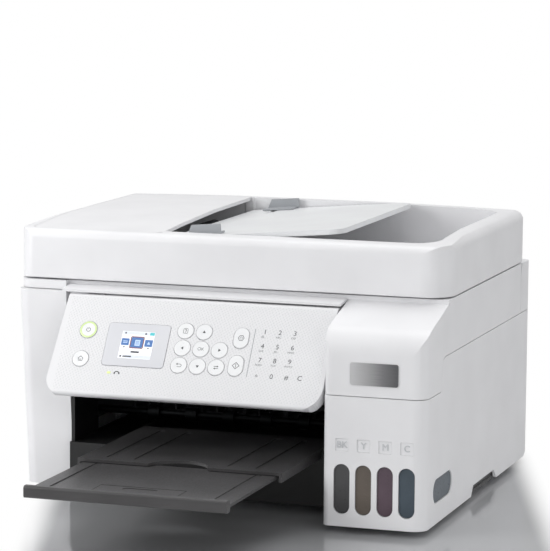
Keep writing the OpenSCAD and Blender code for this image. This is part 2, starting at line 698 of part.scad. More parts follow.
module print_carriage() color("#2a2a2c") {
    y0 = rail_y - rail_r - 4 - carriage_d;
    y1 = rail_y - rail_r - 4;
    z0 = platen_z + 3;
    difference() {
        union() {
            upright(z0 + 6, z0 + carriage_h) plate2d(carriage_x - carriage_w / 2,
                carriage_x + carriage_w / 2, y0, y1, 5);
            block(carriage_x - 24, carriage_x + 24, y0 + 14, y1 - 10, z0, z0 + 7);
            // The bearing that runs on the rail
            across(carriage_x - carriage_w / 2 + 6, carriage_x + carriage_w / 2 - 6) union() {
                translate([rail_y, rail_z]) circle(rail_r + 3.4);
                translate([y1 - 1, rail_z - 8]) square([rail_y - y1 + 1, 16]);
            }
        }
        rod_x(carriage_x - carriage_w, carriage_x + carriage_w, rail_y, rail_z, rail_r + 0.3);
        // Dampers' window in the cover, and a step at the front
        upright(z0 + carriage_h - 6, z0 + carriage_h + 1) plate2d(carriage_x - carriage_w / 2 + 8,
            carriage_x + carriage_w / 2 - 8, y0 + 16, y1 - 8, 4);
        block(carriage_x - carriage_w, carriage_x + carriage_w, y0 - 1, y0 + 8,
            z0 + carriage_h * 0.62, z0 + carriage_h + 1);
    }
    // Four dampers under the window
    for (i = [0 : 3]) upright(z0 + carriage_h - 6.1, z0 + carriage_h - 1)
        plate2d(carriage_x - 32 + i * 16.6, carriage_x - 18 + i * 16.6, y0 + 20, y1 - 12, 2);
    // The jaw that grips the belt's lower run
    block(carriage_x - 8, carriage_x + 8, rail_y + 3, rail_y + 9, rail_z + 15.5, rail_z + 18.5);
    block(carriage_x - 8, carriage_x + 8, rail_y - 3, rail_y + 3.1, rail_z + rail_r + 2, rail_z + 18.5);
}

module platen() color("#303032") {
    difference() {
        union() {
            block(-mech_x + 0.3, mech_x - 0.3, exit_y + exit_r + 3, feed_y - feed_r - 3,
                platen_z - 8, platen_z - 4);
            // Ribs that carry the sheet
            for (i = [0 : 17]) block(path_x - 108 + i * 12.6, path_x - 106.4 + i * 12.6,
                exit_y + exit_r + 3, feed_y - feed_r - 3, platen_z - 5, platen_z);
        }
        // Opening for the capping station
        block(station_x - station_w / 2 - 1, station_x + station_w / 2 + 1,
            exit_y + exit_r + 5.4, feed_y - feed_r - 6.4, platen_z - 9, platen_z + 1);
    }
}

// A spur gear of n teeth on radius r
module gear2d(n, r) polygon([for (i = [0 : n - 1], k = [0 : 3])
    let (a = (i + [-0.27, -0.14, 0.14, 0.27][k]) * 360 / n, q = k == 0 || k == 3 ? r - 1.6 : r)
    q * [cos(a), sin(a)]]);

module feed_roller() {
    color("#c4c6c8") rod_x(-mech_x - steel_t - 9, mech_x + steel_t + 1.5, feed_y, feed_z, 4);
    color("#3a3a3b") rod_x(path_x - support_w / 2 - 2, path_x + support_w / 2 + 2, feed_y, feed_z, feed_r);
    color("#e8e6dc") translate([-mech_x - steel_t - 7, feed_y, feed_z]) rotate([90, 0, 90])
        linear_extrude(5) gear2d(gear_n, gear_r);
}

module exit_roller() {
    color("#c4c6c8") rod_x(-mech_x - steel_t - 9, mech_x + steel_t + 1.5, exit_y, exit_z, 3);
    color("#3a3a3b") for (i = [0 : 5])
        rod_x(path_x - 90 + i * 34, path_x - 80 + i * 34, exit_y, exit_z, exit_r);
    color("#e8e6dc") translate([-mech_x - steel_t - 7, exit_y, exit_z]) rotate([90, 0, 90])
        linear_extrude(5) gear2d(floor(gear_n * 0.6), gear_r * 0.6);
}

module star_wheel_bar() color("#26262a") {
    z = exit_z + exit_r + 0.3 + 4;
    block(-mech_x + 0.3, mech_x - 0.3, exit_y - 5, exit_y + 4.5, z + 1.5, z + 4.5);
    for (i = [0 : 5], k = [-3, 3]) rod_x(path_x - 85.5 + i * 34 + k, path_x - 84.5 + i * 34 + k, exit_y, z, 4);
}

module capping_station() color("#38383c") {
    difference() {
        upright(floor_z + 0.3, platen_z + 1.5) plate2d(station_x - station_w / 2, station_x + station_w / 2,
            exit_y + exit_r + 6, feed_y - feed_r - 7, 3);
        upright(platen_z - 2, platen_z + 3) plate2d(station_x - station_w / 2 + 4,
            station_x + station_w / 2 - 12, exit_y + exit_r + 12, feed_y - feed_r - 13, 3);
    }
    // Wiper blade
    block(station_x + station_w / 2 - 8, station_x + station_w / 2 - 6.6, exit_y + exit_r + 14,
        feed_y - feed_r - 12, platen_z + 1, platen_z + 2.7);
}

module power_inlet() color("#2a2a2b") {
    c = 0.3;
    difference() {
        block(inlet_x + c, inlet_x + inlet_w - c, body_d - base_r - 4, body_d - 0.4, inlet_z + c, inlet_z + inlet_h - c);
        // Figure-eight socket with two pins
        along(body_d - 14, body_d + 1) translate([inlet_x + inlet_w / 2, inlet_z + inlet_h / 2]) union() {
            square([8, 8], center = true);
            for (s = [-4, 4]) translate([s, 0]) circle(4);
        }
    }
    for (s = [-4, 4]) rod_y(body_d - 15, body_d - 4, inlet_x + inlet_w / 2 + s, inlet_z + inlet_h / 2, 1.2);
    block(inlet_x + c, inlet_x + inlet_w - c, body_d - base_r - 10, body_d - base_r - 2.5,
        floor_z + 0.3, inlet_z + inlet_h / 2);
}

module port_block() color("#3a3b3d") {
    c = 0.3;
    difference() {
        block(port_x + c, port_x + port_w - c, body_d - base_r - 4, body_d - 0.8, port_z + c, port_z + port_h - c);
        // One square socket and two phone sockets
        block(port_x + 5, port_x + 17, body_d - 14, body_d, port_z + 4, port_z + 14.5);
        for (x = [port_x + 22, port_x + 37]) {
            block(x, x + 11, body_d - 14, body_d, port_z + 5, port_z + 12);
            block(x + 3, x + 8, body_d - 14, body_d, port_z + 11, port_z + 14);
        }
    }
    block(port_x + 7.4, port_x + 14.6, body_d - 15, body_d - 4, port_z + 7.6, port_z + 10.9);
    block(port_x + c, port_x + port_w - c, body_d - base_r - 10, body_d - base_r - 2.5,
        floor_z + 0.3, port_z + port_h / 2);
}

module feed_chute() color("#222224") {
    x0 = path_x - support_w / 2 - 11;
    x1 = path_x + support_w / 2 + 11;
    difference() {
        on_feed() {
            translate([x0, chute_s, -4.5]) cube([x1 - x0, -chute_s - 10, 2.5]);
            for (x = [x0, x1 - 2.5]) translate([x, chute_s, -4.5]) cube([2.5, -chute_s - 10, 16]);
        }
        // Holes for the hopper's pins
        on_feed() rod_x(x0 - 1, x1 + 1, hopper_s, hopper_m + 1.2, 1.5 + 0.3);
    }
    // Toe that turns the sheet level
    across(x0, x1) polygon([[rail_y + 10 + steel_t + 1, toe_z - 2.5], [toe_y1, toe_z - 2.5],
        [toe_y1 + 2, toe_z + 3], [toe_y1 - 3, toe_z + 3], [toe_y1 - 9, toe_z],
        [rail_y + 10 + steel_t + 1, toe_z]]);
}

module hopper_plate() color("#2c2c2e") on_feed() {
    difference() {
        translate([path_x - support_w / 2 + 2, hopper_s - hopper_l, hopper_m])
            cube([support_w - 4, hopper_l, 2.5]);
        for (i = [0 : 4]) translate([path_x - 82 + i * 40, hopper_s - hopper_l + 14, hopper_m - 1])
            cube([6, hopper_l - 26, 5]);
    }
    rod_x(path_x - support_w / 2 - 10.6, path_x + support_w / 2 + 10.6, hopper_s, hopper_m + 1.2, 1.5);
    rod_x(path_x - support_w / 2 + 2, path_x + support_w / 2 - 2, hopper_s, hopper_m + 1.2, 2.2);
}

module pick_roller() {
    color("#c4c6c8") rod_x(-mech_x - steel_t - 1.5, mech_x + steel_t + 1.5, pick_y, pick_z, 4);
    color("#6e6e70") rod_x(path_x - pick_l / 2, path_x + pick_l / 2, pick_y, pick_z, pick_r);
}

module paper_support() color("#efefec") on_feed() difference() {
    upright(-1.6, support_t - 1.6) plate2d(path_x - support_w / 2, path_x + support_w / 2, -1 - support_l, -1, 9);
    // Shallow ribs between grooves
    for (i = [0 : 7]) translate([path_x - 92 + i * 25.4, -support_l + 12, support_t - 2.2])
        cube([6, support_l - 30, 2]);
}

module support_extension() color("#e6e6e3") on_feed() {
    upright(support_t - 1.6 + play, support_t - 1.6 + play + ext_t)
        plate2d(path_x - ext_w / 2, path_x + ext_w / 2, -2 - ext_l, -2, 5);
    translate([path_x - 16, -7, support_t - 1.6 + play]) cube([32, 4, ext_t + 2.4]);
}

module paper_guide_left() color("#47484a") on_feed() {
    translate([path_x - support_w / 2, guide_s, support_t - 1.6 + play]) cube([14, guide_l, 1.6]);
    translate([path_x - support_w / 2, guide_s, support_t - 1.6 + play]) cube([1.6, guide_l, guide_h]);
}

module paper_guide_right() color("#47484a") on_feed() {
    translate([path_x + support_w / 2 - 14, guide_s, support_t - 1.6 + play]) cube([14, guide_l, 1.6]);
    translate([path_x + support_w / 2 - 1.6, guide_s, support_t - 1.6 + play]) cube([1.6, guide_l, guide_h]);
}

module tray_stage_1() color("#3e3d3c") {
    x0 = tray_x0 - 4;
    x1 = tray_x1 + 4;
    difference() {
        block(x0, x1, stage1_y, stage1_y + stage1_l, stage1_z, stage1_z + tray_t);
        // Thumb hollow at the front edge
        translate([path_x, stage1_y - 6, stage1_z - 1]) cylinder(h = tray_t + 2, r = 26);
        for (x = [x0 + 20, x0 + 44, x1 - 50, x1 - 26])
            block(x, x + 5, stage1_y + 12, stage1_y + stage1_l - 14, stage1_z + tray_t - 0.7, stage1_z + tray_t + 1);
    }
    for (x = [x0, x1 - 2.4]) block(x, x + 2.4, stage1_y, stage1_y + stage1_l, sill_z + play, stage1_z + 0.1);
}

module tray_stage_2() color("#3e3d3c") {
    bar_z = stage2_z - 3.3;
    difference() {
        union() {
            block(tray_x0 + 0.4, tray_x1 - 0.4, bar_d - tray_reach - 1, stage2_l - tray_reach,
                stage2_z, stage2_z + tray_t);
            // The front bar, rounded along its length
            across(tray_x0, tray_x1) outline([[-tray_reach, bar_z, 2], [bar_d - tray_reach, bar_z, 1],
                [bar_d - tray_reach, bar_z + bar_h, 2.4], [-tray_reach, bar_z + bar_h, 2.4]]);
        }
        // Well for the paper stop
        upright(stage2_z - 1, stage2_z + tray_t + 1) plate2d(path_x - stop_w / 2 - 0.6,
            path_x + stop_w / 2 + 0.6, bar_d - tray_reach + 0.01, bar_d - tray_reach + stop_l + 3.4, 1);
        for (x = [tray_x0 + 12, tray_x1 - 18])
            block(x, x + 6, bar_d - tray_reach + 6, stage2_l - tray_reach - 8, stage2_z + tray_t - 0.7, stage2_z + 9);
    }
    // Pivots of the paper stop
    for (s = [-1, 1]) translate([path_x + s * stop_w / 2, 0, 0])
        rod_x(-1.6, 1.6, stop_y, stage2_z + tray_t / 2, 0.7);
}

module paper_stop() color("#454443") {
    difference() {
        across(path_x - stop_w / 2, path_x + stop_w / 2) outline([[stop_y - tray_t / 2, stage2_z, 1.1],
            [stop_y + stop_l, stage2_z], [stop_y + stop_l, stage2_z + tray_t, 0.6],
            [stop_y - tray_t / 2, stage2_z + tray_t, 1.1]]);
        for (s = [-1, 1]) translate([path_x + s * stop_w / 2, 0, 0])
            rod_x(-2.2, 2.2, stop_y, stage2_z + tray_t / 2, 0.9);
        upright(stage2_z + tray_t - 0.6, stage2_z + tray_t + 1)
            plate2d(path_x - 14, path_x + 14, stop_y + stop_l - 12, stop_y + stop_l - 4, 3);
    }
}

// Pocket and lug share this place on the panel's hinge
function lug_x(s) = s < 0 ? panel_x0 + 13 : panel_x1 - 13;

module control_panel() color("#f2f3f4") on_panel() {
    r = panel_top_r;
    difference() {
        intersection() {
            upright(-panel_t - 1, 1) outline([[panel_x0, 1], [panel_x1, 1],
                [panel_x1, -panel_l, panel_r2], [panel_x0 - panel_flare, -panel_l, panel_r1]]);
            across(panel_x0 - 10, panel_x1 + 10) outline([[0, 0, r], [0, -8, 2.5], [-14, -panel_t],
                [-panel_l + 3.4, -panel_t, 4], [-panel_l, 0, 2.5]]);
        }
        // Pockets for the ledge's lugs
        for (s = [-1, 1]) across(lug_x(s) - 3.4, lug_x(s) + 3.4) union() {
            translate([-r, -r]) circle(4.1);
            polygon([[-r - 4.1, -r], [-r - 4.1, -panel_t - 1], [2, -panel_t - 1], [2, -2.6], [-r, -r + 4.1]]);
        }
        // Wells for the buttons and the screen
        key_hole(-110.1, 34.3, power_r);
        key_hole(-111.5, 60.6, button_r);
        for (k = keys) key_hole(key_x + k[0] * button_px, key_v + k[1] * button_py, button_r);
        for (v = pill_v) translate([pill_x, -v]) upright(-3.7, 1) stadium(pill_w + 0.6, pill_h + 0.6);
        translate([-65.5, -45.8]) upright(-1.5, 1)
            plate2d(-screen_w / 2 - 0.3, screen_w / 2 + 0.3, -screen_h / 2 - 0.3, screen_h / 2 + 0.3, 3);
    }
    for (s = [-1, 1]) rod_x(lug_x(s) - 3.5, lug_x(s) + 3.5, -r, -r, 1.8);
}

// Round keys as [column, row] from the middle one
keys = [[-1, -1], [0, -1], [-1, 0], [0, 0], [1, 0], [-1, 1], [0, 1], [1, 1]];
pill_v = [33.9, 58.6];
module key_hole(x, v, r) translate([x, -v, -3.7]) cylinder(h = 6, r = r + 0.3);
// A round button with a soft rim and a faint hollow
module key_cap(x, v, r) on_panel() translate([x, -v, 0]) rotate_extrude()
    polygon([[0, -2.6], [r, -2.6], [r, button_h - 0.5], [r - 0.2, button_h - 0.15], [r - 0.6, button_h],
        [r * 0.55, button_h - 0.12], [0, button_h - 0.3]]);
module round_key(k) color("#eceef0") key_cap(key_x + k[0] * button_px, key_v + k[1] * button_py, button_r);
module pill_key(v) color("#eceef0") on_panel() translate([pill_x, -v, 0]) {
    upright(-2.6, button_h - 0.4) stadium(pill_w, pill_h);
    upright(button_h - 0.45, button_h) stadium(pill_w - 0.8, pill_h - 0.8);
}

module screen_window() color("#c9ccd0") on_panel() translate([-65.5, -45.8]) {
    upright(-1.3, 0.3) plate2d(-screen_w / 2, screen_w / 2, -screen_h / 2, screen_h / 2, 2.7);
}
module power_button() color("#c6e04a") key_cap(-110.1, 34.3, power_r);
module home_button() color("#eceef0") key_cap(-111.5, 60.6, button_r);
module help_button() round_key(keys[0]);
module up_button() round_key(keys[1]);
module left_button() round_key(keys[2]);
module ok_button() round_key(keys[3]);
module right_button() round_key(keys[4]);
module back_button() round_key(keys[5]);
module down_button() round_key(keys[6]);
module mode_button() round_key(keys[7]);
module stop_button() pill_key(pill_v[0]);
module start_button() pill_key(pill_v[1]);

// Side profile of the hood and the scanner unit's right side, set in by t
module hood_profile(t) outline([[t, tank_top + seam - t * 2], [t, hood_apex - t * 0.8, hood_r - t],
    [scan_y, hood_back - t], [scan_y + 2, scan_top - t], [scan_rear - t, scan_top - t],
    [scan_rear - t, skirt_z - t * 2], [58 + t, skirt_z - t * 2], [51 + t, seam_z - 1.6 + seam],
    [44 + t, tank_top + seam - t * 2]]);

module scanner_frame() color("white") {
    difference() {
        intersection() {
            union() {
                // Scanner box, left skirt, front left strip, hood with the right side
                block(xl, xr, scan_y, scan_rear, box_z, scan_top);
                block(xl, xl + wall, col_back + 4.5, scan_rear, skirt_z, scan_top);
                block(xl, col_x1 - 2, lid_y - 1, scan_y + 1, column_top + 0.6, scan_top);
                across(tank_x0 + seam, xr) hood_profile(0);
            }
            upright(0, 300) outline([[xl, lid_y - 1, lid_r1], [tank_x0 + seam, lid_y - 1],
                [tank_x0 + seam, 0, 6], [xr, 0, corner_r], [xr, scan_rear], [xl, scan_rear]]);
        }
        // The hood and the right side are open below
        intersection() {
            across(tank_x0 + seam + wall, xr - wall) hood_profile(wall);
            union() {
                upright(50, 300) outline([[tank_x0 + seam + wall, wall, 4],
                    [xr - wall, wall, corner_r - wall], [xr - wall, scan_y], [tank_x0 + seam + wall, scan_y]]);
                block(tank_x0, xr - wall, scan_y - 1, scan_rear + 1, 50, box_z);
            }
        }
        block(tank_x0 - 1, xr - wall, scan_y, scan_rear + 1, 50, box_z);
        // Seat of the glass and the room under it
        block(glass_x0 - play, -glass_x0 + play, glass_y0 - play, glass_y1 + play, glass_top - glass_t, scan_top + 1);
        block(glass_x0 + 3, -glass_x0 - 3, glass_y0 + 3, glass_y1 - 3, box_z + wall, glass_top - glass_t + 1);
        // Hand recess under the left skirt
        across(xl - 1, xl + wall + 1) polygon([[notch_y, skirt_z - 1], [notch_y + 8, skirt_z + 8],
            [notch_y + notch_l - 8, skirt_z + 8], [notch_y + notch_l, skirt_z - 1]]);
    }
    // Rod that the scan carriage runs on
    rod_x(glass_x0 + 2.9, -glass_x0 - 2.9, (glass_y0 + glass_y1) / 2, rail_scan_z, 2.5);
    // Hinge arms to the case and posts for the lid
    for (s = [-1, 1]) translate([s * hinge_x, 0, 0]) difference() {
        across(-hinge_w / 2, hinge_w / 2) union() {
            translate([scan_hinge_y, scan_hinge_z]) circle(knuckle_r);
            polygon([[scan_rear - 8, scan_hinge_z - 5], [scan_hinge_y, scan_hinge_z - knuckle_r],
                [scan_hinge_y, scan_hinge_z + knuckle_r], [scan_rear - 8, scan_hinge_z + knuckle_r]]);
            polygon([[scan_rear - 8.4, scan_top - 1], [scan_rear - 0.1, scan_top - 1],
                [scan_rear + 5, scan_top + 3.5], [lid_hinge_y + knuckle_r, lid_hinge_z],
                [lid_hinge_y - knuckle_r, lid_hinge_z]]);
            translate([lid_hinge_y, lid_hinge_z]) circle(knuckle_r);
        }
        rod_x(-hinge_w, hinge_w, scan_hinge_y, scan_hinge_z, hinge_r + 0.25);
        rod_x(-hinge_w, hinge_w, lid_hinge_y, lid_hinge_z, hinge_r + 0.25);
    }
}

module scanner_glass() color("#9fb3b8")
    block(glass_x0, -glass_x0, glass_y0, glass_y1, glass_top - glass_t + 0.02, glass_top);

module scan_carriage() color("#2b2c2e") {
    x0 = glass_x0 + 3.6;
    difference() {
        block(x0, x0 + sensor_w, glass_y0 + 4, glass_y1 - 4, box_z + wall + 0.4, glass_top - glass_t - 0.6);
        rod_x(x0 - 1, x0 + sensor_w + 1, (glass_y0 + glass_y1) / 2, rail_scan_z, 2.5 + 0.3);
        // Slot of the lens row
        block(x0 + sensor_w / 2 - 1, x0 + sensor_w / 2 + 1, glass_y0 + 10, glass_y1 - 10,
            glass_top - glass_t - 2.4, glass_top);
    }
}

// Outer shape of the closed lid
module lid_form() intersection() {
    upright(lid_z, lid_top_z + 2) outline([[xl, lid_y, lid_r1], [xr, lid_y, lid_r2],
        [xr, cover_rear, lid_r3], [xl, cover_rear, lid_r3]], 8);
    across(xl, xr) union() {
        outline([[lid_y, lid_z, 1.5], [lid_y, lid_front_z + 3, 8], [lid_y + 60, lid_front_z + 6.5],
            [lid_y + 140, lid_top_z - 1], [lid_rear, lid_top_z, 8], [lid_rear, lid_z, 2]]);
        outline([[scan_rear, 190], [cover_rear, 190, 6], [cover_rear, lid_front_z + 1, 8],
            [scan_rear, lid_front_z + 1]]);
    }
    along(lid_y, cover_rear) outline([[xl, lid_z - 1], [xl, lid_top_z - 3, lid_edge_r],
        [0, lid_top_z + 1.5], [xr, lid_top_z - 3, lid_edge_r], [xr, lid_z - 1]]);
}
// Place of the feeder cover, set in by t
module cover_zone(t) upright(lid_z + 6, lid_top_z + 4)
    plate2d(xl + 9 + t, feeder_x1 - t, lid_y + 9 + t, scan_rear - 6 - t, 6);

module lid_body() color("#f4f5f6") {
    well_z = droller_z - droller_r - 2;
    difference() {
        lid_form();
        // Seat of the feeder cover
        difference() {
            cover_zone(-play);
            translate([0, 0, -feeder_t - play]) lid_form();
        }
        // Well of the document roller
        upright(well_z, 300) plate2d(xl + 22, feeder_x1 - 3, basin_y0, basin_y1, 4);
        // Passage from the well to the basin and the mouth of the feeder
        block(feeder_x1 - 4, feeder_x1 + 8, dtray_y0 - 1, dtray_y1 + 1, well_z, 300);
        // Output basin
        upright(basin_z, 300) plate2d(feeder_x1 + 4, basin_x1, basin_y0, basin_y1, basin_r);
        upright(basin_z, 300) plate2d(feeder_x1 + 2, feeder_x1 + 60, basin_y0, basin_y1, 3);
        // Seat of the pressure pad
        block(glass_x0 - 1, -glass_x0 + 1, glass_y0 - 1, glass_y1 + 1, lid_z - 1, lid_z + 2);
        // Bores of the roller, the tray pins and the cover pins
        rod_y(basin_y0 - 4, basin_y1 + 4, droller_x, droller_z, 2.5 + 0.3);
        rod_y(basin_y0 - 4, basin_y1 + 4, dtray_x0, dtray_pin_z, 1.6 + 0.3);
        // Slots for the hinge posts
        for (s = [-1, 1]) translate([s * hinge_x, 0, 0]) across(-hinge_w / 2 - 1, hinge_w / 2 + 1) {
            polygon([[scan_rear - 16, lid_z - 1], [cover_rear + 1, lid_z - 1],
                [cover_rear + 1, lid_hinge_z + 2.2], [lid_hinge_y + 4.6, lid_hinge_z + 2.2],
                [lid_hinge_y - knuckle_r - 1, lid_hinge_z + 2], [scan_rear - 16, lid_hinge_z - 6]]);
            translate([lid_hinge_y, lid_hinge_z]) circle(knuckle_r + 0.6);
        }
    }
    // Lid pins in the posts
    for (s = [-1, 1]) translate([s * hinge_x, 0, 0])
        rod_x(-hinge_w / 2 - 1.1, hinge_w / 2 + 1.1, lid_hinge_y, lid_hinge_z, hinge_r);
}

module pressure_pad() color("#fafafa")
    block(glass_x0, -glass_x0, glass_y0, glass_y1, scan_top - 0.3, lid_z + 1.7);

module feeder_cover() color("#f6f7f8") difference() {
    intersection() {
        lid_form();
        cover_zone(0);
    }
    translate([0, 0, -feeder_t]) lid_form();
    // Finger notch at the front right corner
    translate([feeder_x1, lid_y + 9, lid_front_z - 10]) cylinder(h = 40, r = 4);
}

// Upper face of the document tray in profile, x and z
module document_tray() color("#f4f5f6") {
    difference() {
        translate([dtray_x0, 0, dtray_z]) rotate([0, -dtray_a, 0]) {
            upright(-dtray_t, 0) plate2d(0, (dtray_x1 - dtray_x0) / cos(dtray_a), dtray_y0, dtray_y1, 14);
            upright(-dtray_t, 0) plate2d(-4, 40, dtray_y0, dtray_y1, 3);
        }
        // Tracks of the document guides
        for (y = [dtray_y0 + 6, dtray_y1 - 40]) translate([dtray_x0, 0, dtray_z]) rotate([0, -dtray_a, 0])
            block(18, 24, y, y + 34, -1, 1);
    }
    translate([dtray_x0, 0, dtray_pin_z]) {
        rod_y(dtray_y0, dtray_y1, 0, 0, 2.2);
        rod_y(basin_y0 - 3.4, basin_y1 + 3.4, 0, 0, 1.6);
    }
}

// A guide that stands on the document tray, its face at y
module document_guide(y, s) translate([dtray_x0, 0, dtray_z]) rotate([0, -dtray_a, 0]) {
    // The fence slopes off at its hinge end, so that it clears the feeder cover as the tray lifts
    along(s > 0 ? y : y - 2, s > 0 ? y + 2 : y)
        polygon([[11, 0.3], [40, 0.3], [40, dguide_h], [dguide_h + 5.5, dguide_h], [11, 2]]);
    block(10, 38, s > 0 ? y : y - 16, s > 0 ? y + 16 : y, 0.3, 1.7);
}
module document_guide_front() color("#b9bcc0") document_guide(dtray_y0 + 2, 1);
module document_guide_rear() color("#b9bcc0") document_guide(dtray_y1 - 2, -1);

module document_roller() {
    m = (basin_y0 + basin_y1) / 2;
    color("#d8d8d6") rod_y(basin_y0 - 3, basin_y1 + 3, droller_x, droller_z, 2.5);
    color("#5a5a5c") for (s = [-1, 1])
        rod_y(m + s * droller_l / 2 - 14, m + s * droller_l / 2 + 14, droller_x, droller_z, droller_r);
}

place() lower_case();
place() sill_frame();
place() ledge_beam();
place() tank_housing();
place() tank_black();
place() tank_yellow();
place() tank_magenta();
place() tank_cyan();
place() filler_deck();
place() cap_black();
place() cap_yellow();
place() cap_magenta();
place() cap_cyan();
place() feet();
place() chassis_frame();
place() drive_belt();
place() carriage_motor();
place() print_carriage();
place() platen();
place() feed_roller();
place() exit_roller();
place() star_wheel_bar();
place() capping_station();
place() power_inlet();
place() port_block();
place() feed_chute();
place() hopper_plate();
place() pick_roller();
place() paper_support();
place() support_extension();
place() paper_guide_left();
place() paper_guide_right();
place() tray_stage_1();
place() tray_stage_2();
place() paper_stop();
place() control_panel();
place() screen_window();
place() power_button();
place() home_button();
place() help_button();
place() up_button();
place() left_button();
place() ok_button();
place() right_button();
place() back_button();
place() down_button();
place() mode_button();
place() stop_button();
place() start_button();
place() scanner_frame();
place() scanner_glass();
place() scan_carriage();
place() lid_body();
place() pressure_pad();
place() feeder_cover();
place() document_tray();
place() document_guide_front();
place() document_guide_rear();
place() document_roller();
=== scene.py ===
"""Looks of an inkjet printer with refillable ink tanks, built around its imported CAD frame."""

import logging
import math
from collections.abc import Iterable, Mapping, Sequence
from dataclasses import dataclass, field
from enum import Enum
from typing import Any

import bmesh
import bpy
import numpy as np
from mathutils import Matrix, Vector


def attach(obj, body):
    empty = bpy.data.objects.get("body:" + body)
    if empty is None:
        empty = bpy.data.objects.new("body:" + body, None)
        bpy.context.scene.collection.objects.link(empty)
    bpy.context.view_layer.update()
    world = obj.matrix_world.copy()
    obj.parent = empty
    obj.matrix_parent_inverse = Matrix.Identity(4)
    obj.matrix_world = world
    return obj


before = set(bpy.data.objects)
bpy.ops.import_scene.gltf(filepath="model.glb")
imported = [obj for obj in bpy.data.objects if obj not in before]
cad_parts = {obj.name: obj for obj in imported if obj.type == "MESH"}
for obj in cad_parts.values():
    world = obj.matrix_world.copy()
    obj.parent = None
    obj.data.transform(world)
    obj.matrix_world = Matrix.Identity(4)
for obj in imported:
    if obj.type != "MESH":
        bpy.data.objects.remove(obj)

log = logging.getLogger("printer")

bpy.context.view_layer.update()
MM = 0.001
Point = tuple[float, float]

# The part's own frame has its middle over the origin; sizes below are taken from the
# front of the tank unit, so every depth is shifted by this much.
DEPTH_SHIFT = 93.5


def place(x: float, y: float, z: float) -> Vector:
    """Turns a point in millimetres from the tank unit's front into the part's frame, in metres."""
    return Vector((x, y - DEPTH_SHIFT, z)) * MM


def linear(code: str) -> tuple[float, float, float, float]:
    """Turns an sRGB hex value into the linear colour that a shader socket takes.

    Args:
        code: Six hex digits, with or without a hash sign.

    Returns:
        Red, green, blue and an alpha of one.
    """
    parts = [int(code.lstrip("#")[i : i + 2], 16) / 255 for i in (0, 2, 4)]
    red, green, blue = (
        c / 12.92 if c <= 0.04045 else ((c + 0.055) / 1.055) ** 2.4 for c in parts
    )
    return red, green, blue, 1.0


def add(
    tree: bpy.types.NodeTree,
    kind: str,
    inputs: Mapping[str | int, Any] | None = None,
    **settings: Any,
) -> bpy.types.Node:
    """Adds one node to a tree with its settings, constants and links.

    Args:
        tree: The tree that gets the node.
        kind: Blender's name of the node type, without its Shader prefix.
        inputs: A value or an output socket for each named or numbered input.
        **settings: Attributes of the node, such as an operation.

    Returns:
        The new node.
    """
    node = tree.nodes.new("Shader" + kind)
    for key, value in settings.items():
        setattr(node, key, value)
    for key, value in (inputs or {}).items():
        if isinstance(value, bpy.types.NodeSocket):
            tree.links.new(value, node.inputs[key])
        else:
            node.inputs[key].default_value = value
    return node


def maths(tree: bpy.types.NodeTree, operation: str, *values: Any) -> bpy.types.NodeSocket:
    """Works out one step of scalar maths on numbers or sockets."""
    return add(tree, "NodeMath", dict(enumerate(values)), operation=operation).outputs[0]


def vectors(tree: bpy.types.NodeTree, operation: str, *values: Any) -> bpy.types.NodeSocket:
    """Works out one step of vector maths on vectors or sockets."""
    return add(tree, "NodeVectorMath", dict(enumerate(values)), operation=operation).outputs[0]


def ranged(tree: bpy.types.NodeTree, value: Any, low: float, high: float, first: float = 0.0,
           last: float = 1.0, **settings: Any) -> bpy.types.NodeSocket:
    """Maps a value that runs from low to high onto first to last.

    Args:
        tree: The material's tree.
        value: A number or a socket.
        low: The value that gives first.
        high: The value that gives last.
        first: The result at low.
        last: The result at high.
        **settings: Attributes of the node, such as its interpolation.

    Returns:
        The mapped value's socket.
    """
    return add(tree, "NodeMapRange", {"Value": value, "From Min": low, "From Max": high,
                                      "To Min": first, "To Max": last}, **settings).outputs[0]


def surface(tree: bpy.types.NodeTree, out: bpy.types.Node,
            inputs: Mapping[str | int, Any]) -> bpy.types.Node:
    """Adds the surface shader, joins it to the output and returns it."""
    shader = add(tree, "NodeBsdfPrincipled", inputs)
    tree.links.new(shader.outputs[0], out.inputs[0])
    return shader


def ramp(
    tree: bpy.types.NodeTree, factor: bpy.types.NodeSocket, stops: Sequence[tuple[float, str]]
) -> bpy.types.NodeSocket:
    """Colours a factor by stops along it.

    Args:
        tree: The material's tree.
        factor: The socket that runs from 0 to 1.
        stops: Position and hex colour of each stop, in order.

    Returns:
        The colour socket.
    """
    node = add(tree, "NodeValToRGB", {0: factor})
    elements = node.color_ramp.elements
    while len(elements) < len(stops):
        elements.new(1.0)
    for element, (position, code) in zip(elements, stops):
        element.position = position
        element.color = linear(code)
    return node.outputs[0]


def blank(name: str) -> tuple[bpy.types.Material, bpy.types.NodeTree, bpy.types.Node]:
    """Starts a material with an empty tree.

    Args:
        name: The finish's name.

    Returns:
        The material, its tree and its output node.
    """
    material = bpy.data.materials.new(name)
    material.use_nodes = True
    tree = material.node_tree
    tree.nodes.clear()
    return material, tree, add(tree, "NodeOutputMaterial")


def grain(tree: bpy.types.NodeTree, size_mm: float, detail: float = 2.0) -> bpy.types.NodeSocket:
    """Adds noise whose patches are about size_mm across, in the part's own frame."""
    where = add(tree, "NodeTexCoord").outputs["Object"]
    scale = 1 / (size_mm * MM)
    return add(
        tree, "NodeTexNoise", {"Vector": where, "Scale": scale, "Detail": detail}
    ).outputs[0]


def spread(
    tree: bpy.types.NodeTree, source: bpy.types.NodeSocket, low: float, high: float
) -> bpy.types.NodeSocket:
    """Maps the middle of a noise's range onto low to high."""
    return ranged(tree, source, 0.3, 0.7, low, high)


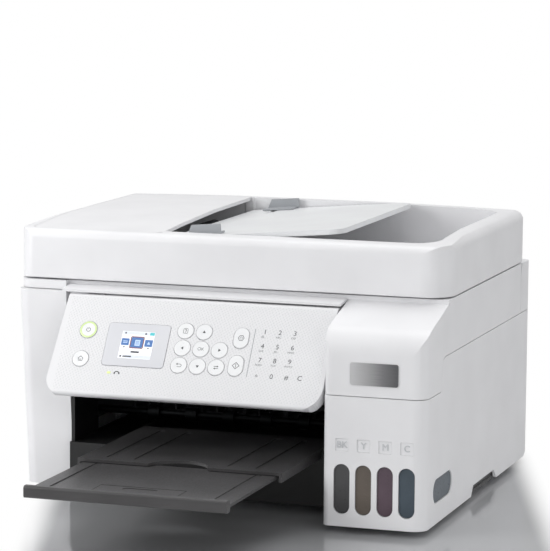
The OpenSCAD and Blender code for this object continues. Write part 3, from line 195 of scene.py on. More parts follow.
def mixed(
    tree: bpy.types.NodeTree, factor: Any, first: Any, second: Any
) -> bpy.types.NodeSocket:
    """Mixes two colours by a factor.

    Args:
        tree: The material's tree.
        factor: A number or a socket.
        first: The colour at factor 0, as a value or a socket.
        second: The colour at factor 1, as a value or a socket.

    Returns:
        The mixed colour's socket.
    """
    node = add(tree, "NodeMix", {0: factor, 6: first, 7: second}, data_type="RGBA")
    return node.outputs[2]


@dataclass(frozen=True)
class MouldedPlastic:
    """A moulded wall of ABS or polystyrene with the grain of its mould.

    The eye gets a slow mottle from the mould's flow, a fine grain that breaks up highlights,
    softly rounded edges, and edges that handling has polished a little.
    """

    name: str
    colour: str
    shade: str
    roughness: float = 0.42
    grain_mm: float = 1.0
    grain_depth_mm: float = 0.012
    edge_mm: float = 0.5
    gloss: float = 0.0

    def make(self) -> bpy.types.Material:
        """Builds the material and returns it."""
        material, tree, out = blank(self.name)
        slow = grain(tree, 45, 2)
        fine = grain(tree, self.grain_mm, 3)
        soft = add(tree, "NodeBevel", {"Radius": self.edge_mm * MM}, samples=3)
        flat = add(tree, "NodeNewGeometry").outputs["Normal"]
        across = add(
            tree, "NodeVectorMath", {0: soft.outputs[0], 1: flat}, operation="DOT_PRODUCT"
        )
        edge = ranged(tree, across.outputs["Value"], 0.995, 0.9)
        bump = add(
            tree, "NodeBump", {"Height": fine, "Distance": self.grain_depth_mm * MM,
                               "Strength": 1.0, "Normal": soft.outputs[0]}
        )
        rough = maths(tree, "SUBTRACT",
                      spread(tree, fine, self.roughness - 0.04, self.roughness + 0.05),
                      maths(tree, "MULTIPLY", edge, 0.1))
        shader = surface(tree, out, {
            "Base Color": mixed(tree, spread(tree, slow, 0, 1), linear(self.colour),
                                linear(self.shade)),
            "Roughness": rough, "Normal": bump.outputs[0]})
        # ABS and polystyrene lie between 1.53 and 1.59
        shader.inputs["IOR"].default_value = 1.53
        shader.inputs["Coat Weight"].default_value = self.gloss
        shader.inputs["Coat Roughness"].default_value = 0.12
        return material


@dataclass(frozen=True)
class EmbossedPlastic:
    """White ABS whose mould was etched with a fine slanting weave, smooth along its rim.

    The eye gets a matt, slightly sparkling field inside a plain smooth border.
    """

    name: str
    colour: str
    shade: str
    turn: float
    origin: Vector
    low: Point
    high: Point
    # the real weave is about half as coarse, too fine to show from any distance
    pitch_mm: float = 2.3
    depth_mm: float = 0.13
    rim_mm: float = 3.2
    roughness: float = 0.46

    def make(self) -> bpy.types.Material:
        """Builds the material and returns it."""
        material, tree, out = blank(self.name)
        where = add(tree, "NodeTexCoord").outputs["Object"]
        local = add(
            tree, "NodeMapping", {"Vector": where, "Location": self.origin,
                                  "Rotation": (self.turn, 0, 0), "Scale": (MM, MM, MM)},
            vector_type="TEXTURE",
        ).outputs[0]
        axis = add(tree, "NodeSeparateXYZ", {0: local})
        inside: bpy.types.NodeSocket | None = None
        for value, low, high in ((axis.outputs[0], self.low[0], self.high[0]),
                                 (axis.outputs[1], self.low[1], self.high[1])):
            for limit, sign in ((low, 1.0), (high, -1.0)):
                gap = maths(tree, "MULTIPLY_ADD", value, sign, -sign * limit)
                part = ranged(tree, gap, self.rim_mm - 0.5, self.rim_mm + 0.5)
                inside = part if inside is None else maths(tree, "MULTIPLY", inside, part)
        weave: bpy.types.NodeSocket | None = None
        for turn in (0.9, -0.5):
            line = add(tree, "NodeMapping", {"Vector": local, "Rotation": (0, 0, turn)})
            # a wave's bands repeat every 20 / scale, in radians turned to the pitch
            wave = add(tree, "NodeTexWave", {"Vector": line.outputs[0],
                                             "Scale": math.tau / 20 / self.pitch_mm,
                                             "Distortion": 2.4, "Detail": 1.0,
                                             "Detail Scale": 1.4}).outputs["Fac"]
            weave = wave if weave is None else maths(tree, "MULTIPLY", weave, wave)
        height = maths(tree, "MULTIPLY", weave, inside)
        soft = add(tree, "NodeBevel", {"Radius": 0.5 * MM}, samples=3).outputs[0]
        bump = add(tree, "NodeBump", {"Height": height, "Distance": self.depth_mm * MM,
                                      "Normal": soft})
        tone = mixed(tree, spread(tree, height, 0, 1), linear(self.colour), linear(self.shade))
        shader = surface(tree, out, {
            "Base Color": tone, "Normal": bump.outputs[0],
            "Roughness": spread(tree, height, self.roughness, self.roughness + 0.06)})
        shader.inputs["IOR"].default_value = 1.53
        return material


@dataclass(frozen=True)
class SmokedPlastic:
    """Smoked clear plastic of a tank with ink behind it.

    The eye gets a dark wet gloss, darkest at the bottom and lighter higher up, under a dull
    film of ink that is patchy in tone.
    """

    name: str
    deep: str
    middle: str
    high: str
    z_low: float
    z_high: float
    roughness: float = 0.3

    def make(self) -> bpy.types.Material:
        """Builds the material and returns it."""
        material, tree, out = blank(self.name)
        where = add(tree, "NodeTexCoord").outputs["Object"]
        height = add(tree, "NodeSeparateXYZ", {0: where}).outputs[2]
        level = ranged(tree, height, self.z_low * MM, self.z_high * MM)
        colour = ramp(tree, level, ((0.0, self.deep), (0.45, self.middle), (1.0, self.high)))
        film = spread(tree, grain(tree, 9, 3), 0.94, 1.03)
        tone = add(tree, "NodeVectorMath", {0: colour, 3: film}, operation="SCALE")
        ripple = add(tree, "NodeBump", {"Height": grain(tree, 4, 1), "Distance": 0.03 * MM,
                                        "Strength": 0.5})
        shader = surface(tree, out, {
            "Base Color": tone.outputs[0], "Normal": ripple.outputs[0],
            "Roughness": spread(tree, grain(tree, 3, 2), self.roughness - 0.03,
                                self.roughness + 0.05)})
        # polypropylene and styrene tanks: about 1.5
        shader.inputs["IOR"].default_value = 1.5
        shader.inputs["Specular IOR Level"].default_value = 0.12
        shader.inputs["Coat Weight"].default_value = 0.06
        shader.inputs["Coat Roughness"].default_value = 0.12
        return material


@dataclass(frozen=True)
class BrightMetal:
    """Rolled, drawn or foiled metal.

    The eye gets long fine streaks along the way it was rolled, and a tone that drifts a little.
    """

    name: str
    stops: tuple[tuple[float, str], ...]
    roughness: float = 0.3
    streak_mm: tuple[float, float, float] = (40.0, 0.6, 0.6)
    depth_mm: float = 0.003
    along: int = 0
    span: Point = (-100.0, 100.0)

    def make(self) -> bpy.types.Material:
        """Builds the material and returns it."""
        material, tree, out = blank(self.name)
        where = add(tree, "NodeTexCoord").outputs["Object"]
        scale = tuple(1 / (s * MM) for s in self.streak_mm)
        long = add(tree, "NodeMapping", {"Vector": where, "Scale": scale}).outputs[0]
        streak = add(tree, "NodeTexNoise", {"Vector": long, "Scale": 1.0, "Detail": 3.0}).outputs[0]
        axis = add(tree, "NodeSeparateXYZ", {0: where}).outputs[self.along]
        drift = ranged(tree, axis, self.span[0] * MM, self.span[1] * MM)
        wobble = maths(tree, "MULTIPLY_ADD", streak, 0.16, drift)
        factor = maths(tree, "SUBTRACT", wobble, 0.08)
        bump = add(tree, "NodeBump", {"Height": streak, "Distance": self.depth_mm * MM})
        shader = surface(tree, out, {
            "Base Color": ramp(tree, factor, self.stops), "Normal": bump.outputs[0],
            "Roughness": spread(tree, streak, self.roughness - 0.05, self.roughness + 0.08)})
        shader.inputs["Metallic"].default_value = 1.0
        return material


@dataclass(frozen=True)
class ClearGlass:
    """Float glass of a scanner: clear, faintly green, with the odd wiped smear in its gloss."""

    name: str
    colour: str = "EAF4F0"

    def make(self) -> bpy.types.Material:
        """Builds the material and returns it."""
        material, tree, out = blank(self.name)
        shader = surface(tree, out, {
            "Roughness": spread(tree, grain(tree, 60, 3), 0.01, 0.05),
            "Base Color": mixed(tree, spread(tree, grain(tree, 80, 1), 0, 1),
                                linear(self.colour), linear("E2EEEA"))})
        shader.inputs["Transmission Weight"].default_value = 1.0
        # soda-lime glass
        shader.inputs["IOR"].default_value = 1.52
        return material


@dataclass(frozen=True)
class LitPlastic:
    """Plastic that is lit from behind, or a lit part of a screen.

    The eye gets an even glow with a faint unevenness of the light guide under a glossy skin.
    """

    name: str
    colour: str
    glow: float
    patch_mm: float = 2.5

    def make(self) -> bpy.types.Material:
        """Builds the material and returns it."""
        material, tree, out = blank(self.name)
        uneven = grain(tree, self.patch_mm, 2)
        glow = spread(tree, uneven, self.glow * 0.94, self.glow * 1.04)
        shader = surface(tree, out, {
            "Base Color": mixed(tree, spread(tree, uneven, 0, 0.06), linear(self.colour),
                                linear("808080")),
            "Roughness": spread(tree, uneven, 0.22, 0.3), "Emission Strength": glow})
        shader.inputs["Emission Color"].default_value = linear(self.colour)
        shader.inputs["IOR"].default_value = 1.49
        return material


@dataclass(frozen=True)
class Fibrous:
    """Rubber, foam or printed ink: a dull skin with open pores.

    The eye gets a soft sheen that never turns into a highlight, broken by small pits.
    """

    name: str
    colour: str
    shade: str
    pore_mm: float
    depth_mm: float
    roughness: float = 0.8

    def make(self) -> bpy.types.Material:
        """Builds the material and returns it."""
        material, tree, out = blank(self.name)
        where = add(tree, "NodeTexCoord").outputs["Object"]
        cell = add(tree, "NodeTexVoronoi", {"Vector": where,
                                            "Scale": 1 / (self.pore_mm * MM)}).outputs["Distance"]
        bump = add(tree, "NodeBump", {"Height": cell, "Distance": self.depth_mm * MM})
        shader = surface(tree, out, {
            "Base Color": mixed(tree, cell, linear(self.shade), linear(self.colour)),
            "Roughness": spread(tree, cell, self.roughness, self.roughness + 0.08),
            "Normal": bump.outputs[0]})
        # rubber and pigmented ink: about 1.52
        shader.inputs["IOR"].default_value = 1.52
        return material


@dataclass(frozen=True)
class Plane:
    """A flat working face on the object, with its own u, v and height in millimetres."""

    origin: Vector
    turn: Matrix

    def at(self, u: float, v: float, w: float = 0.0) -> Vector:
        """Gives the point at u, v and height w, in the part's frame."""
        return self.origin + self.turn @ (Vector((u, v, w)) * MM)


def front_plane(x: float, z: float, y: float = 0.0) -> Plane:
    """Makes an upright plane that faces the front, with its origin at x, y, z."""
    return Plane(place(x, y, z), Matrix.Rotation(math.radians(90), 3, "X"))


def circle(cx: float, cy: float, r: float, n: int = 36) -> list[Point]:
    """Lists the corners of a circle."""
    return [(cx + r * math.cos(math.tau * i / n), cy + r * math.sin(math.tau * i / n))
            for i in range(n)]


def rounded(cx: float, cy: float, w: float, h: float, r: float, n: int = 5) -> list[Point]:
    """Lists the corners of a rounded rectangle.

    Args:
        cx: Middle, across.
        cy: Middle, up.
        w: Width.
        h: Height.
        r: Corner radius.
        n: Steps in each corner.

    Returns:
        Its corners, anticlockwise.
    """
    points: list[Point] = []
    for k, (sx, sy) in enumerate(((1, 1), (-1, 1), (-1, -1), (1, -1))):
        x, y = cx + sx * (w / 2 - r), cy + sy * (h / 2 - r)
        for i in range(n + 1):
            a = math.radians(90) * (k + i / n)
            points.append((x + r * math.cos(a), y + r * math.sin(a)))
    return points


def stroke(path: Sequence[Point], width: float, closed: bool = False) -> list[list[Point]]:
    """Turns a path into four-cornered pieces of a line.

    Args:
        path: The points that the line follows.
        width: The line's width.
        closed: Whether the last point joins the first.

    Returns:
        One outline for each stretch, overlapping a little at the corners.
    """
    ends = list(path) + ([path[0]] if closed else [])
    pieces = []
    for (x0, y0), (x1, y1) in zip(ends, ends[1:]):
        length = math.hypot(x1 - x0, y1 - y0) or 1.0
        ux, uy = (x1 - x0) / length * width / 2, (y1 - y0) / length * width / 2
        # each stretch goes a little past its ends, so that the corners close
        ex, ey = ux * 0.6, uy * 0.6
        pieces.append([(x0 - ex - uy, y0 - ey + ux), (x0 - ex + uy, y0 - ey - ux),
                       (x1 + ex + uy, y1 + ey - ux), (x1 + ex - uy, y1 + ey + ux)])
    return pieces


def arc(cx: float, cy: float, r: float, a0: float, a1: float, n: int = 14) -> list[Point]:
    """Lists the points of an arc from a0 to a1 degrees."""
    return [(cx + r * math.cos(math.radians(a0 + (a1 - a0) * i / n)),
             cy + r * math.sin(math.radians(a0 + (a1 - a0) * i / n))) for i in range(n + 1)]


def baked(shape: bmesh.types.BMesh, name: str) -> bpy.types.Mesh:
    """Turns a working shape into a mesh and frees it."""
    mesh = bpy.data.meshes.new(name)
    shape.to_mesh(mesh)
    shape.free()
    return mesh


def slabs(plane: Plane, outlines: Iterable[Sequence[Point]], low: float, high: float,
          rim: float = 0.0) -> bpy.types.Mesh:
    """Makes closed flat pieces from outlines on a plane.

    Args:
        plane: The plane that they lie on.
        outlines: The corners of each piece.
        low: Height of the underside.
        high: Height of the top.
        rim: Width of the chamfer round the top, or 0 for none.

    Returns:
        One mesh that holds all of them.
    """
    shape = bmesh.new()
    for outline in outlines:
        bottom = [shape.verts.new(plane.at(u, v, low)) for u, v in outline]
        top = [shape.verts.new(plane.at(u, v, high)) for u, v in outline]
        count = len(outline)
        lid = shape.faces.new(top)
        shape.faces.new(bottom[::-1])
        for i in range(count):
            j = (i + 1) % count
            shape.faces.new((bottom[i], bottom[j], top[j], top[i]))
        if rim:
            bmesh.ops.bevel(shape, geom=list(lid.edges), offset=rim * MM, segments=2,
                            affect="EDGES", profile=0.5)
    bmesh.ops.recalc_face_normals(shape, faces=shape.faces)
    return baked(shape, "slab")


def lathe(plane: Plane, cu: float, cv: float, profile: Sequence[Point],
          n: int = 48) -> bpy.types.Mesh:
    """Turns a closed profile round an axis that stands on a plane.

    Args:
        plane: The plane that the axis stands on.
        cu: The axis's place across the plane.
        cv: The axis's place up the plane.
        profile: Radius and height of each corner, in order round the profile.
        n: Steps round the axis.

    Returns:
        The turned ring or button, closed.
    """
    shape = bmesh.new()
    rows = []
    for i in range(n):
        a = math.tau * i / n
        rows.append([shape.verts.new(plane.at(cu + r * math.cos(a), cv + r * math.sin(a), w))
                     for r, w in profile])
    for i in range(n):
        for j in range(len(profile)):
            k = (j + 1) % len(profile)
            shape.faces.new((rows[i][j], rows[(i + 1) % n][j], rows[(i + 1) % n][k], rows[i][k]))
    bmesh.ops.remove_doubles(shape, verts=shape.verts, dist=1e-6)
    bmesh.ops.recalc_face_normals(shape, faces=shape.faces)
    return baked(shape, "lathe")


def words(plane: Plane, text: str, u: float, v: float, size: float, low: float,
          high: float, rim: float = 0.0) -> bpy.types.Mesh:
    """Makes raised letters on a plane.

    Args:
        plane: The plane that they stand on.
        text: The letters.
        u: Their middle, across.
        v: Their middle, up.
        size: The height of a capital letter.
        low: Height of their underside.
        high: Height of their top.
        rim: Size of the rounding round their tops.

    Returns:
        A mesh of the letters.
    """
    curve = bpy.data.curves.new("letters", "FONT")
    curve.body, curve.size = text, size / 0.73
    curve.align_x, curve.align_y = "CENTER", "CENTER"
    curve.extrude, curve.bevel_depth = (high - low) / 2 - rim, rim
    curve.resolution_u = 4
    holder = bpy.data.objects.new("letters", curve)
    bpy.context.scene.collection.objects.link(holder)
    bpy.context.view_layer.update()
    mesh = bpy.data.meshes.new_from_object(holder.evaluated_get(
        bpy.context.evaluated_depsgraph_get()))
    bpy.data.objects.remove(holder)
    bpy.data.curves.remove(curve)
    for vertex in mesh.vertices:
        x, y, z = vertex.co
        vertex.co = plane.at(u + x, v + y, (low + high) / 2 + z)
    shape = bmesh.new()
    shape.from_mesh(mesh)
    bmesh.ops.remove_doubles(shape, verts=shape.verts, dist=1e-7)
    bmesh.ops.recalc_face_normals(shape, faces=shape.faces)
    shape.to_mesh(mesh)
    shape.free()
    return mesh


def joined(name: str, meshes: Iterable[bpy.types.Mesh]) -> bpy.types.Mesh:
    """Joins several meshes into one with that name."""
    shape = bmesh.new()
    for mesh in meshes:
        shape.from_mesh(mesh)
    return baked(shape, name)


def shade_by_angle(mesh: bpy.types.Mesh, degrees: float = 32.0) -> None:
    """Shades curved faces smooth and keeps flat ones flat, also where points are doubled.

    Every corner gets the mean normal of the faces that meet at its place and lean less than
    the angle from its own face. Each counts by the area of its whole plane, so a wide flat wall
    stays flat up to its rounded edge.

    Args:
        mesh: The mesh, whose points stay as they are.
        degrees: The widest lean that still shades smooth.
    """
    corners, faces = len(mesh.loops), len(mesh.polygons)
    places = np.empty(len(mesh.vertices) * 3)
    mesh.vertices.foreach_get("co", places)
    cells = np.round(places.reshape(-1, 3) / 2e-6).astype(np.int64)
    spot = np.unique(cells, axis=0, return_inverse=True)[1].ravel()
    used = np.empty(corners, dtype=np.int64)
    mesh.loops.foreach_get("vertex_index", used)
    normals, areas, totals = np.empty(faces * 3), np.empty(faces), np.empty(faces, dtype=np.int64)
    mesh.polygons.foreach_get("normal", normals)
    mesh.polygons.foreach_get("area", areas)
    mesh.polygons.foreach_get("loop_total", totals)
    normals = normals.reshape(-1, 3)
    owner = np.repeat(np.arange(faces), totals)
    middle = np.empty(faces * 3)
    mesh.polygons.foreach_get("center", middle)
    reach = (middle.reshape(-1, 3) * normals).sum(axis=1)
    keys = np.column_stack((np.round(normals * 500), np.round(reach / 5e-5)))
    plane = np.unique(keys, axis=0, return_inverse=True)[1].ravel()
    weight = np.bincount(plane, weights=areas)[plane] + 1e-12
    at = spot[used]
    order = np.argsort(at, kind="stable")
    result, limit = np.empty((corners, 3)), math.cos(math.radians(degrees))
    for group in np.split(order, np.flatnonzero(np.diff(at[order])) + 1):
        own = normals[owner[group]]
        near = (own @ own.T > limit) * weight[owner[group]]
        mean = near @ own
        result[group] = mean / np.maximum(np.linalg.norm(mean, axis=1, keepdims=True), 1e-12)
    mesh.polygons.foreach_set("use_smooth", [True] * faces)
    mesh.normals_split_custom_set(result.tolist())


class Assembly:
    """What every sub-assembly shares: dressing CAD nodes and adding pieces that ride."""

    def dress(self, nodes: Iterable[str], material: bpy.types.Material) -> None:
        """Gives CAD nodes their finish and shades their curved faces smooth.

        Args:
            nodes: Names of the nodes.
            material: The finish.
        """
        for name in nodes:
            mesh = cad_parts[name].data
            mesh.materials.clear()
            mesh.materials.append(material)
            shade_by_angle(mesh)
            log.info("dressed %s as %s", name, material.name)

    def dress_each(self, looks: "Mapping[Finish, Sequence[str]]") -> None:
        """Gives each group of CAD nodes its finish."""
        for finish, nodes in looks.items():
            self.dress(nodes, finish.material())

    def piece(self, name: str, mesh: bpy.types.Mesh, finish: "Finish", body: str,
              slot: str) -> bpy.types.Object:
        """Adds a new piece that rides on a body.

        Args:
            name: The piece's name.
            mesh: Its mesh, in the part's frame.
            finish: Its finish.
            body: The CAD body that carries it.
            slot: The record's slot that its finish belongs to; not used.

        Returns:
            The piece.
        """
        mesh.name = name
        mesh.materials.clear()
        mesh.materials.append(finish.material())
        shade_by_angle(mesh)
        thing = bpy.data.objects.new(name, mesh)
        bpy.context.scene.collection.objects.link(thing)
        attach(thing, body)
        log.info("added %s on %s", name, body)
        return thing


class Finish(Enum):
    """Every finish on the object, by what it is and how it was made."""

    # Mould-grained white ABS: the case, the hood and the lid
    WHITE_ABS = MouldedPlastic("abs_white_moulded", "EBEBED", "E6E6E8", 0.42, 1.1, 0.010, 0.6)
    # Letters raised in the case's white, painted a darker grey as shade for their edges, and duller
    # where their mould was engraved
    LETTER_ABS = MouldedPlastic("abs_letter_painted_shade", "CDCFD2", "C6C8CB", 0.5, 0.8, 0.012, 0.15)
    # Smoother and a touch cooler: trays and guides that paper slides on
    TRAY_WHITE = MouldedPlastic("abs_white_polished", "E9EBEC", "E4E5E7", 0.34, 1.6, 0.006, 0.5)
    # Key caps, from a polished mould
    KEY_WHITE = MouldedPlastic("abs_key_polished", "F0F1F2", "EBECEE", 0.3, 2.0, 0.004, 0.3)
    # Carbon-black ABS inside the paper path: hardly any grain shows. The same black is painted
    # shade in the liner inside the right hand notch
    INNER_BLACK = MouldedPlastic("abs_black_moulded", "0E0E0F", "151516", 0.45, 1.4, 0.012, 0.4)
    # Dark grey output tray, satin from the sliding paper
    TRAY_GREY = MouldedPlastic("abs_charcoal_satin", "3A393A", "434243", 0.36, 1.2, 0.012, 0.4)
    # Light grey deck under the caps
    DECK_GREY = MouldedPlastic("abs_grey_moulded", "8E9296", "868A8E", 0.44, 1.2, 0.012, 0.4)
    # Paper guides of the rear feed
    GUIDE_GREY = MouldedPlastic("abs_midgrey_moulded", "6B6E72", "63666A", 0.4, 1.2, 0.012, 0.4)
    # Document guides on the feeder: paler, so that they show on the white tray
    DOC_GUIDE_GREY = MouldedPlastic("abs_palegrey_moulded", "A9ACB0", "A1A4A8", 0.4, 1.2, 0.012,
                                    0.4)
    # Mechanism mouldings: glass-filled black plastic, coarser and duller
    MECH_BLACK = MouldedPlastic("nylon_black_glass_filled", "18191A", "222324", 0.55, 0.8, 0.03,
                                0.3)
    # Sensor bar of the scanner: smooth black
    SENSOR_BLACK = MouldedPlastic("abs_black_satin", "111214", "17181A", 0.28, 1.8, 0.006, 0.3)
    # Cap lids in each ink's own colour
    CAP_BLACK = MouldedPlastic("pp_cap_black", "1B1B1C", "232324", 0.38, 1.2, 0.01, 0.4)
    CAP_YELLOW = MouldedPlastic("pp_cap_yellow", "F2CB1C", "E8BF14", 0.38, 1.2, 0.01, 0.4)
    CAP_MAGENTA = MouldedPlastic("pp_cap_magenta", "C4236F", "B81C66", 0.38, 1.2, 0.01, 0.4)
    CAP_CYAN = MouldedPlastic("pp_cap_cyan", "1E86BE", "177BB2", 0.38, 1.2, 0.01, 0.4)
    # Smoked tanks with the inks behind them
    TANK_BLACK = SmokedPlastic("smoked_tank_black", "434344", "515152", "555556", 12, 58)
    TANK_YELLOW = SmokedPlastic("smoked_tank_yellow", "5E5750", "6C645D", "645D57", 12, 58)
    TANK_MAGENTA = SmokedPlastic("smoked_tank_magenta", "54474F", "63555E", "5C5058", 12, 58)
    TANK_CYAN = SmokedPlastic("smoked_tank_cyan", "434C54", "505A63", "4C555C", 12, 58)
    # Zinc-plated sheet steel: cool grey, faint rolling lines
    ZINC_STEEL = BrightMetal("zinc_plated_sheet", ((0.0, "A9ACAE"), (1.0, "BCBFC1")), 0.34)
    # Ground steel shafts: brighter, streaked round the shaft
    SHAFT_STEEL = BrightMetal("ground_steel_shaft", ((0.0, "BDBEC0"), (1.0, "D0D1D2")), 0.2,
                              (0.8, 6.0, 6.0))
    # The exit shaft is painted black as shade, so that it doesn't show in the dark mouth of the
    # paper path
    BLACK_STEEL = BrightMetal("steel_shaft_painted_shade", ((0.0, "1C1D1E"), (1.0, "28292A")), 0.45,
                              (0.8, 6.0, 6.0))
    # Motor can: drawn steel
    MOTOR_STEEL = BrightMetal("drawn_steel_can", ((0.0, "B2B3B5"), (1.0, "C6C7C8")), 0.26,
                              (2.0, 12.0, 2.0))
    # Nameless badge: brushed foil under lacquer, light at the left and dark at the right
    BADGE_FOIL = BrightMetal("brushed_foil_badge",
                             ((0.0, "D8D8D9"), (0.35, "B9B9BA"), (0.7, "8B8B8D"), (1.0, "6E6E70")),
                             0.36, (14.0, 2.0, 0.35), 0.004, 0, (126.0, 163.0))
    GLASS = ClearGlass("float_glass")
    # Rubber of feet and belt: dull, with the pits of its mould
    FOOT_RUBBER = Fibrous("moulded_rubber", "2A2A2B", "1F1F20", 0.9, 0.02, 0.78)
    BELT_RUBBER = Fibrous("neoprene_belt", "1C1C1D", "101011", 0.7, 0.02, 0.7)
    ROLLER_RUBBER = Fibrous("ground_roller_rubber", "4A4B4D", "3C3D3F", 0.5, 0.015, 0.72)
    # White foam that presses the sheet on the glass
    PAD_FOAM = Fibrous("foam_pad_white", "E9EAEA", "DCDDDD", 0.8, 0.03, 0.85)
    # Screen-printed inks on the panel: dull, with a slightly open film
    PRINT_GREY = Fibrous("screen_print_grey", "77797C", "6C6E71", 0.4, 0.004, 0.6)
    PRINT_DARK = Fibrous("screen_print_dark", "4C4E51", "424447", 0.4, 0.004, 0.6)
    PRINT_PALE = Fibrous("screen_print_pale", "A9ABAE", "9EA0A3", 0.4, 0.004, 0.6)
    # Clear window over the screen, its frame printed pale grey from behind
    SCREEN_FRAME = MouldedPlastic("acrylic_window_printed", "DFE0E4", "DADBE0", 0.16, 4.0, 0.002,
                                  0.3, 0.3)
    # Lit parts: the ring round the power button, the lamp, and the screen's own colours
    RING_GREEN = LitPlastic("light_guide_green", "C9DE9C", 0.25)
    LAMP_GREEN = LitPlastic("lamp_lens_green", "D8E29A", 0.3)
    LCD_WHITE = LitPlastic("lcd_white", "F4F6FA", 0.25)
    LCD_PALE = LitPlastic("lcd_pale", "DCE2EC", 0.2)
    LCD_BLUE = LitPlastic("lcd_blue", "557AB2", 0.22)
    LCD_LIGHT_BLUE = LitPlastic("lcd_light_blue", "BCD2F0", 0.25)
    LCD_CYAN = LitPlastic("lcd_cyan", "58BFC6", 0.25)
    LCD_BROWN = LitPlastic("lcd_brown", "8C5A58", 0.2)
    LCD_DARK = LitPlastic("lcd_dark", "4A4C54", 0.1)

    def material(self) -> bpy.types.Material:
        """Gives the finish's material, made the first time that it is asked for."""
        found = bpy.data.materials.get(self.value.name)
        return found or self.value.make()


@dataclass
class Case(Assembly):
    """The lower case, the front ledge, the feet and the sockets at the back."""

    screw_r: float = 3.2
    plate_w: float = 90.0
    plate_h: float = 45.0

    @property
    def underside(self) -> Plane:
        """The case's underside: u to the right, v to the front, heights downwards."""
        return Plane(place(0, 0, 5.5), Matrix.Rotation(math.radians(180), 3, "X"))

    def screws(self) -> None:
        """Adds the recessed-cross screws that hold the case together, on its underside."""
        back = self.underside
        heads = []
        for u, v in ((-120, -120), (-120, -290), (60, -120), (60, -300), (-30, -200)):
            r = self.screw_r
            heads.append(lathe(back, u, v, ((0.75, 0.05), (r, 0.05), (r, 0.5), (r * 0.8, 0.85),
                                            (r * 0.62, 0.95), (0.75, 0.95))))
            for turn in (0, 90):
                a = math.radians(turn)
                blade = [(u + math.cos(a) * s * 1.5 - math.sin(a) * t * 0.3,
                          v + math.sin(a) * s * 1.5 + math.cos(a) * t * 0.3)
                         for s, t in ((-1, -1), (1, -1), (1, 1), (-1, 1))]
                heads.append(slabs(back, [blade], 0.05, 0.5))
        self.piece("case_screws", joined("case_screws", heads), Finish.ZINC_STEEL,
                   "base", "zinc_steel")

    def rating_plate(self) -> None:
        """Adds the bare rating plate's film on the underside."""
        film = slabs(self.underside, [rounded(-30, -290, self.plate_w, self.plate_h, 2.0)],
                     0.02, 0.15, 0.05)
        self.piece("rating_film", film, Finish.SCREEN_FRAME, "base", "white_abs")

    def notch_painted_shade(self) -> None:
        """Adds a black liner that closes the right hand notch off from the inside: painted shade
        for the notch's dark inside.
        """
        side = Plane(place(184.7, 0, 0), Matrix(((0, 0, 1), (1, 0, 0), (0, 1, 0))))
        skirt = slabs(side, [[(147.8, 5.7), (233.2, 5.7), (230.0, 8.6), (151.0, 8.6)]], 0.04, 0.2)
        web = slabs(side, [rounded(189.0, 11.6, 78.0, 6.0, 0.5, 3)], -1.6, -0.4, 0.2)
        # the liner's black is painted shade inside the notch
        self.piece("notch_painted_shade", joined("notch_painted_shade", (skirt, web)),
                   Finish.INNER_BLACK, "base", "inner_black")

    def build(self) -> None:
        """Dresses the case and adds its small pieces."""
        self.dress_each({Finish.WHITE_ABS: ("lower_case", "ledge_beam", "tank_housing"),
                         Finish.INNER_BLACK: ("sill_frame", "port_block", "power_inlet"),
                         Finish.FOOT_RUBBER: ("feet",)})
        self.screws()
        self.rating_plate()
        self.notch_painted_shade()


@dataclass
class InkTanks(Assembly):
    """The four tanks, their deck and caps, the raised letters and the bare badge."""

    middle: float = 145.25
    pitch: float = 18.0
    letters: tuple[str, ...] = ("BK", "Y", "M", "C")
    letter_h: float = 5.4
    letter_z: float = 72.0
    badge: tuple[float, float, float, float] = (144.45, 130.3, 40.0, 18.2)

    def across(self, i: int) -> float:
        """Gives the middle of tank i."""
        return self.middle + (i - 1.5) * self.pitch

    def marks(self) -> None:
        """Adds the raised letters over the windows and the scale ribs on the panes."""
        signs = [words(front_plane(self.across(i), self.letter_z, 0.6), text, 0, 0, self.letter_h,
                       -0.1, 0.55, 0.08) for i, text in enumerate(self.letters)]
        # the letters' darker grey is painted shade, standing in for the shadows along their edges
        self.piece("tank_letters", joined("tank_letters", signs), Finish.LETTER_ABS,
                   "base", "white_abs")
        finishes = (Finish.TANK_BLACK, Finish.TANK_YELLOW, Finish.TANK_MAGENTA, Finish.TANK_CYAN)
        slots = ("tank_bk", "tank_y", "tank_m", "tank_c")
        for i, (finish, slot) in enumerate(zip(finishes, slots)):
            pane = front_plane(self.across(i), 0, 1.0)
            ticks = [rounded(2.6, z, 2.2 if k % 5 else 3.6, 0.45, 0.2, 2)
                     for k, z in enumerate(23 + 2.6 * n for n in range(11))]
            self.piece(f"tank_scale_{i + 1}", slabs(pane, ticks, -0.05, 0.18, 0.06),
                       finish, "base", slot)

    def badge_plate(self) -> None:
        """Adds the bare foil badge on the hood, domed a little round its rim."""
        x, z, w, h = self.badge
        plate = slabs(front_plane(x, z), [rounded(0, 0, w, h, 1.6, 6)], -0.05, 0.7, 0.35)
        self.piece("badge_plate", plate, Finish.BADGE_FOIL, "scanner_unit",
                   "zinc_steel")

    def build(self) -> None:
        """Dresses the tank unit and adds its pieces."""
        inks = ("black", "yellow", "magenta", "cyan")
        self.dress_each({Finish[f"{kind.upper()}_{ink.upper()}"]: (f"{kind}_{ink}",)
                         for kind in ("tank", "cap") for ink in inks})
        self.dress_each({Finish.DECK_GREY: ("filler_deck",)})
        self.marks()
        self.badge_plate()


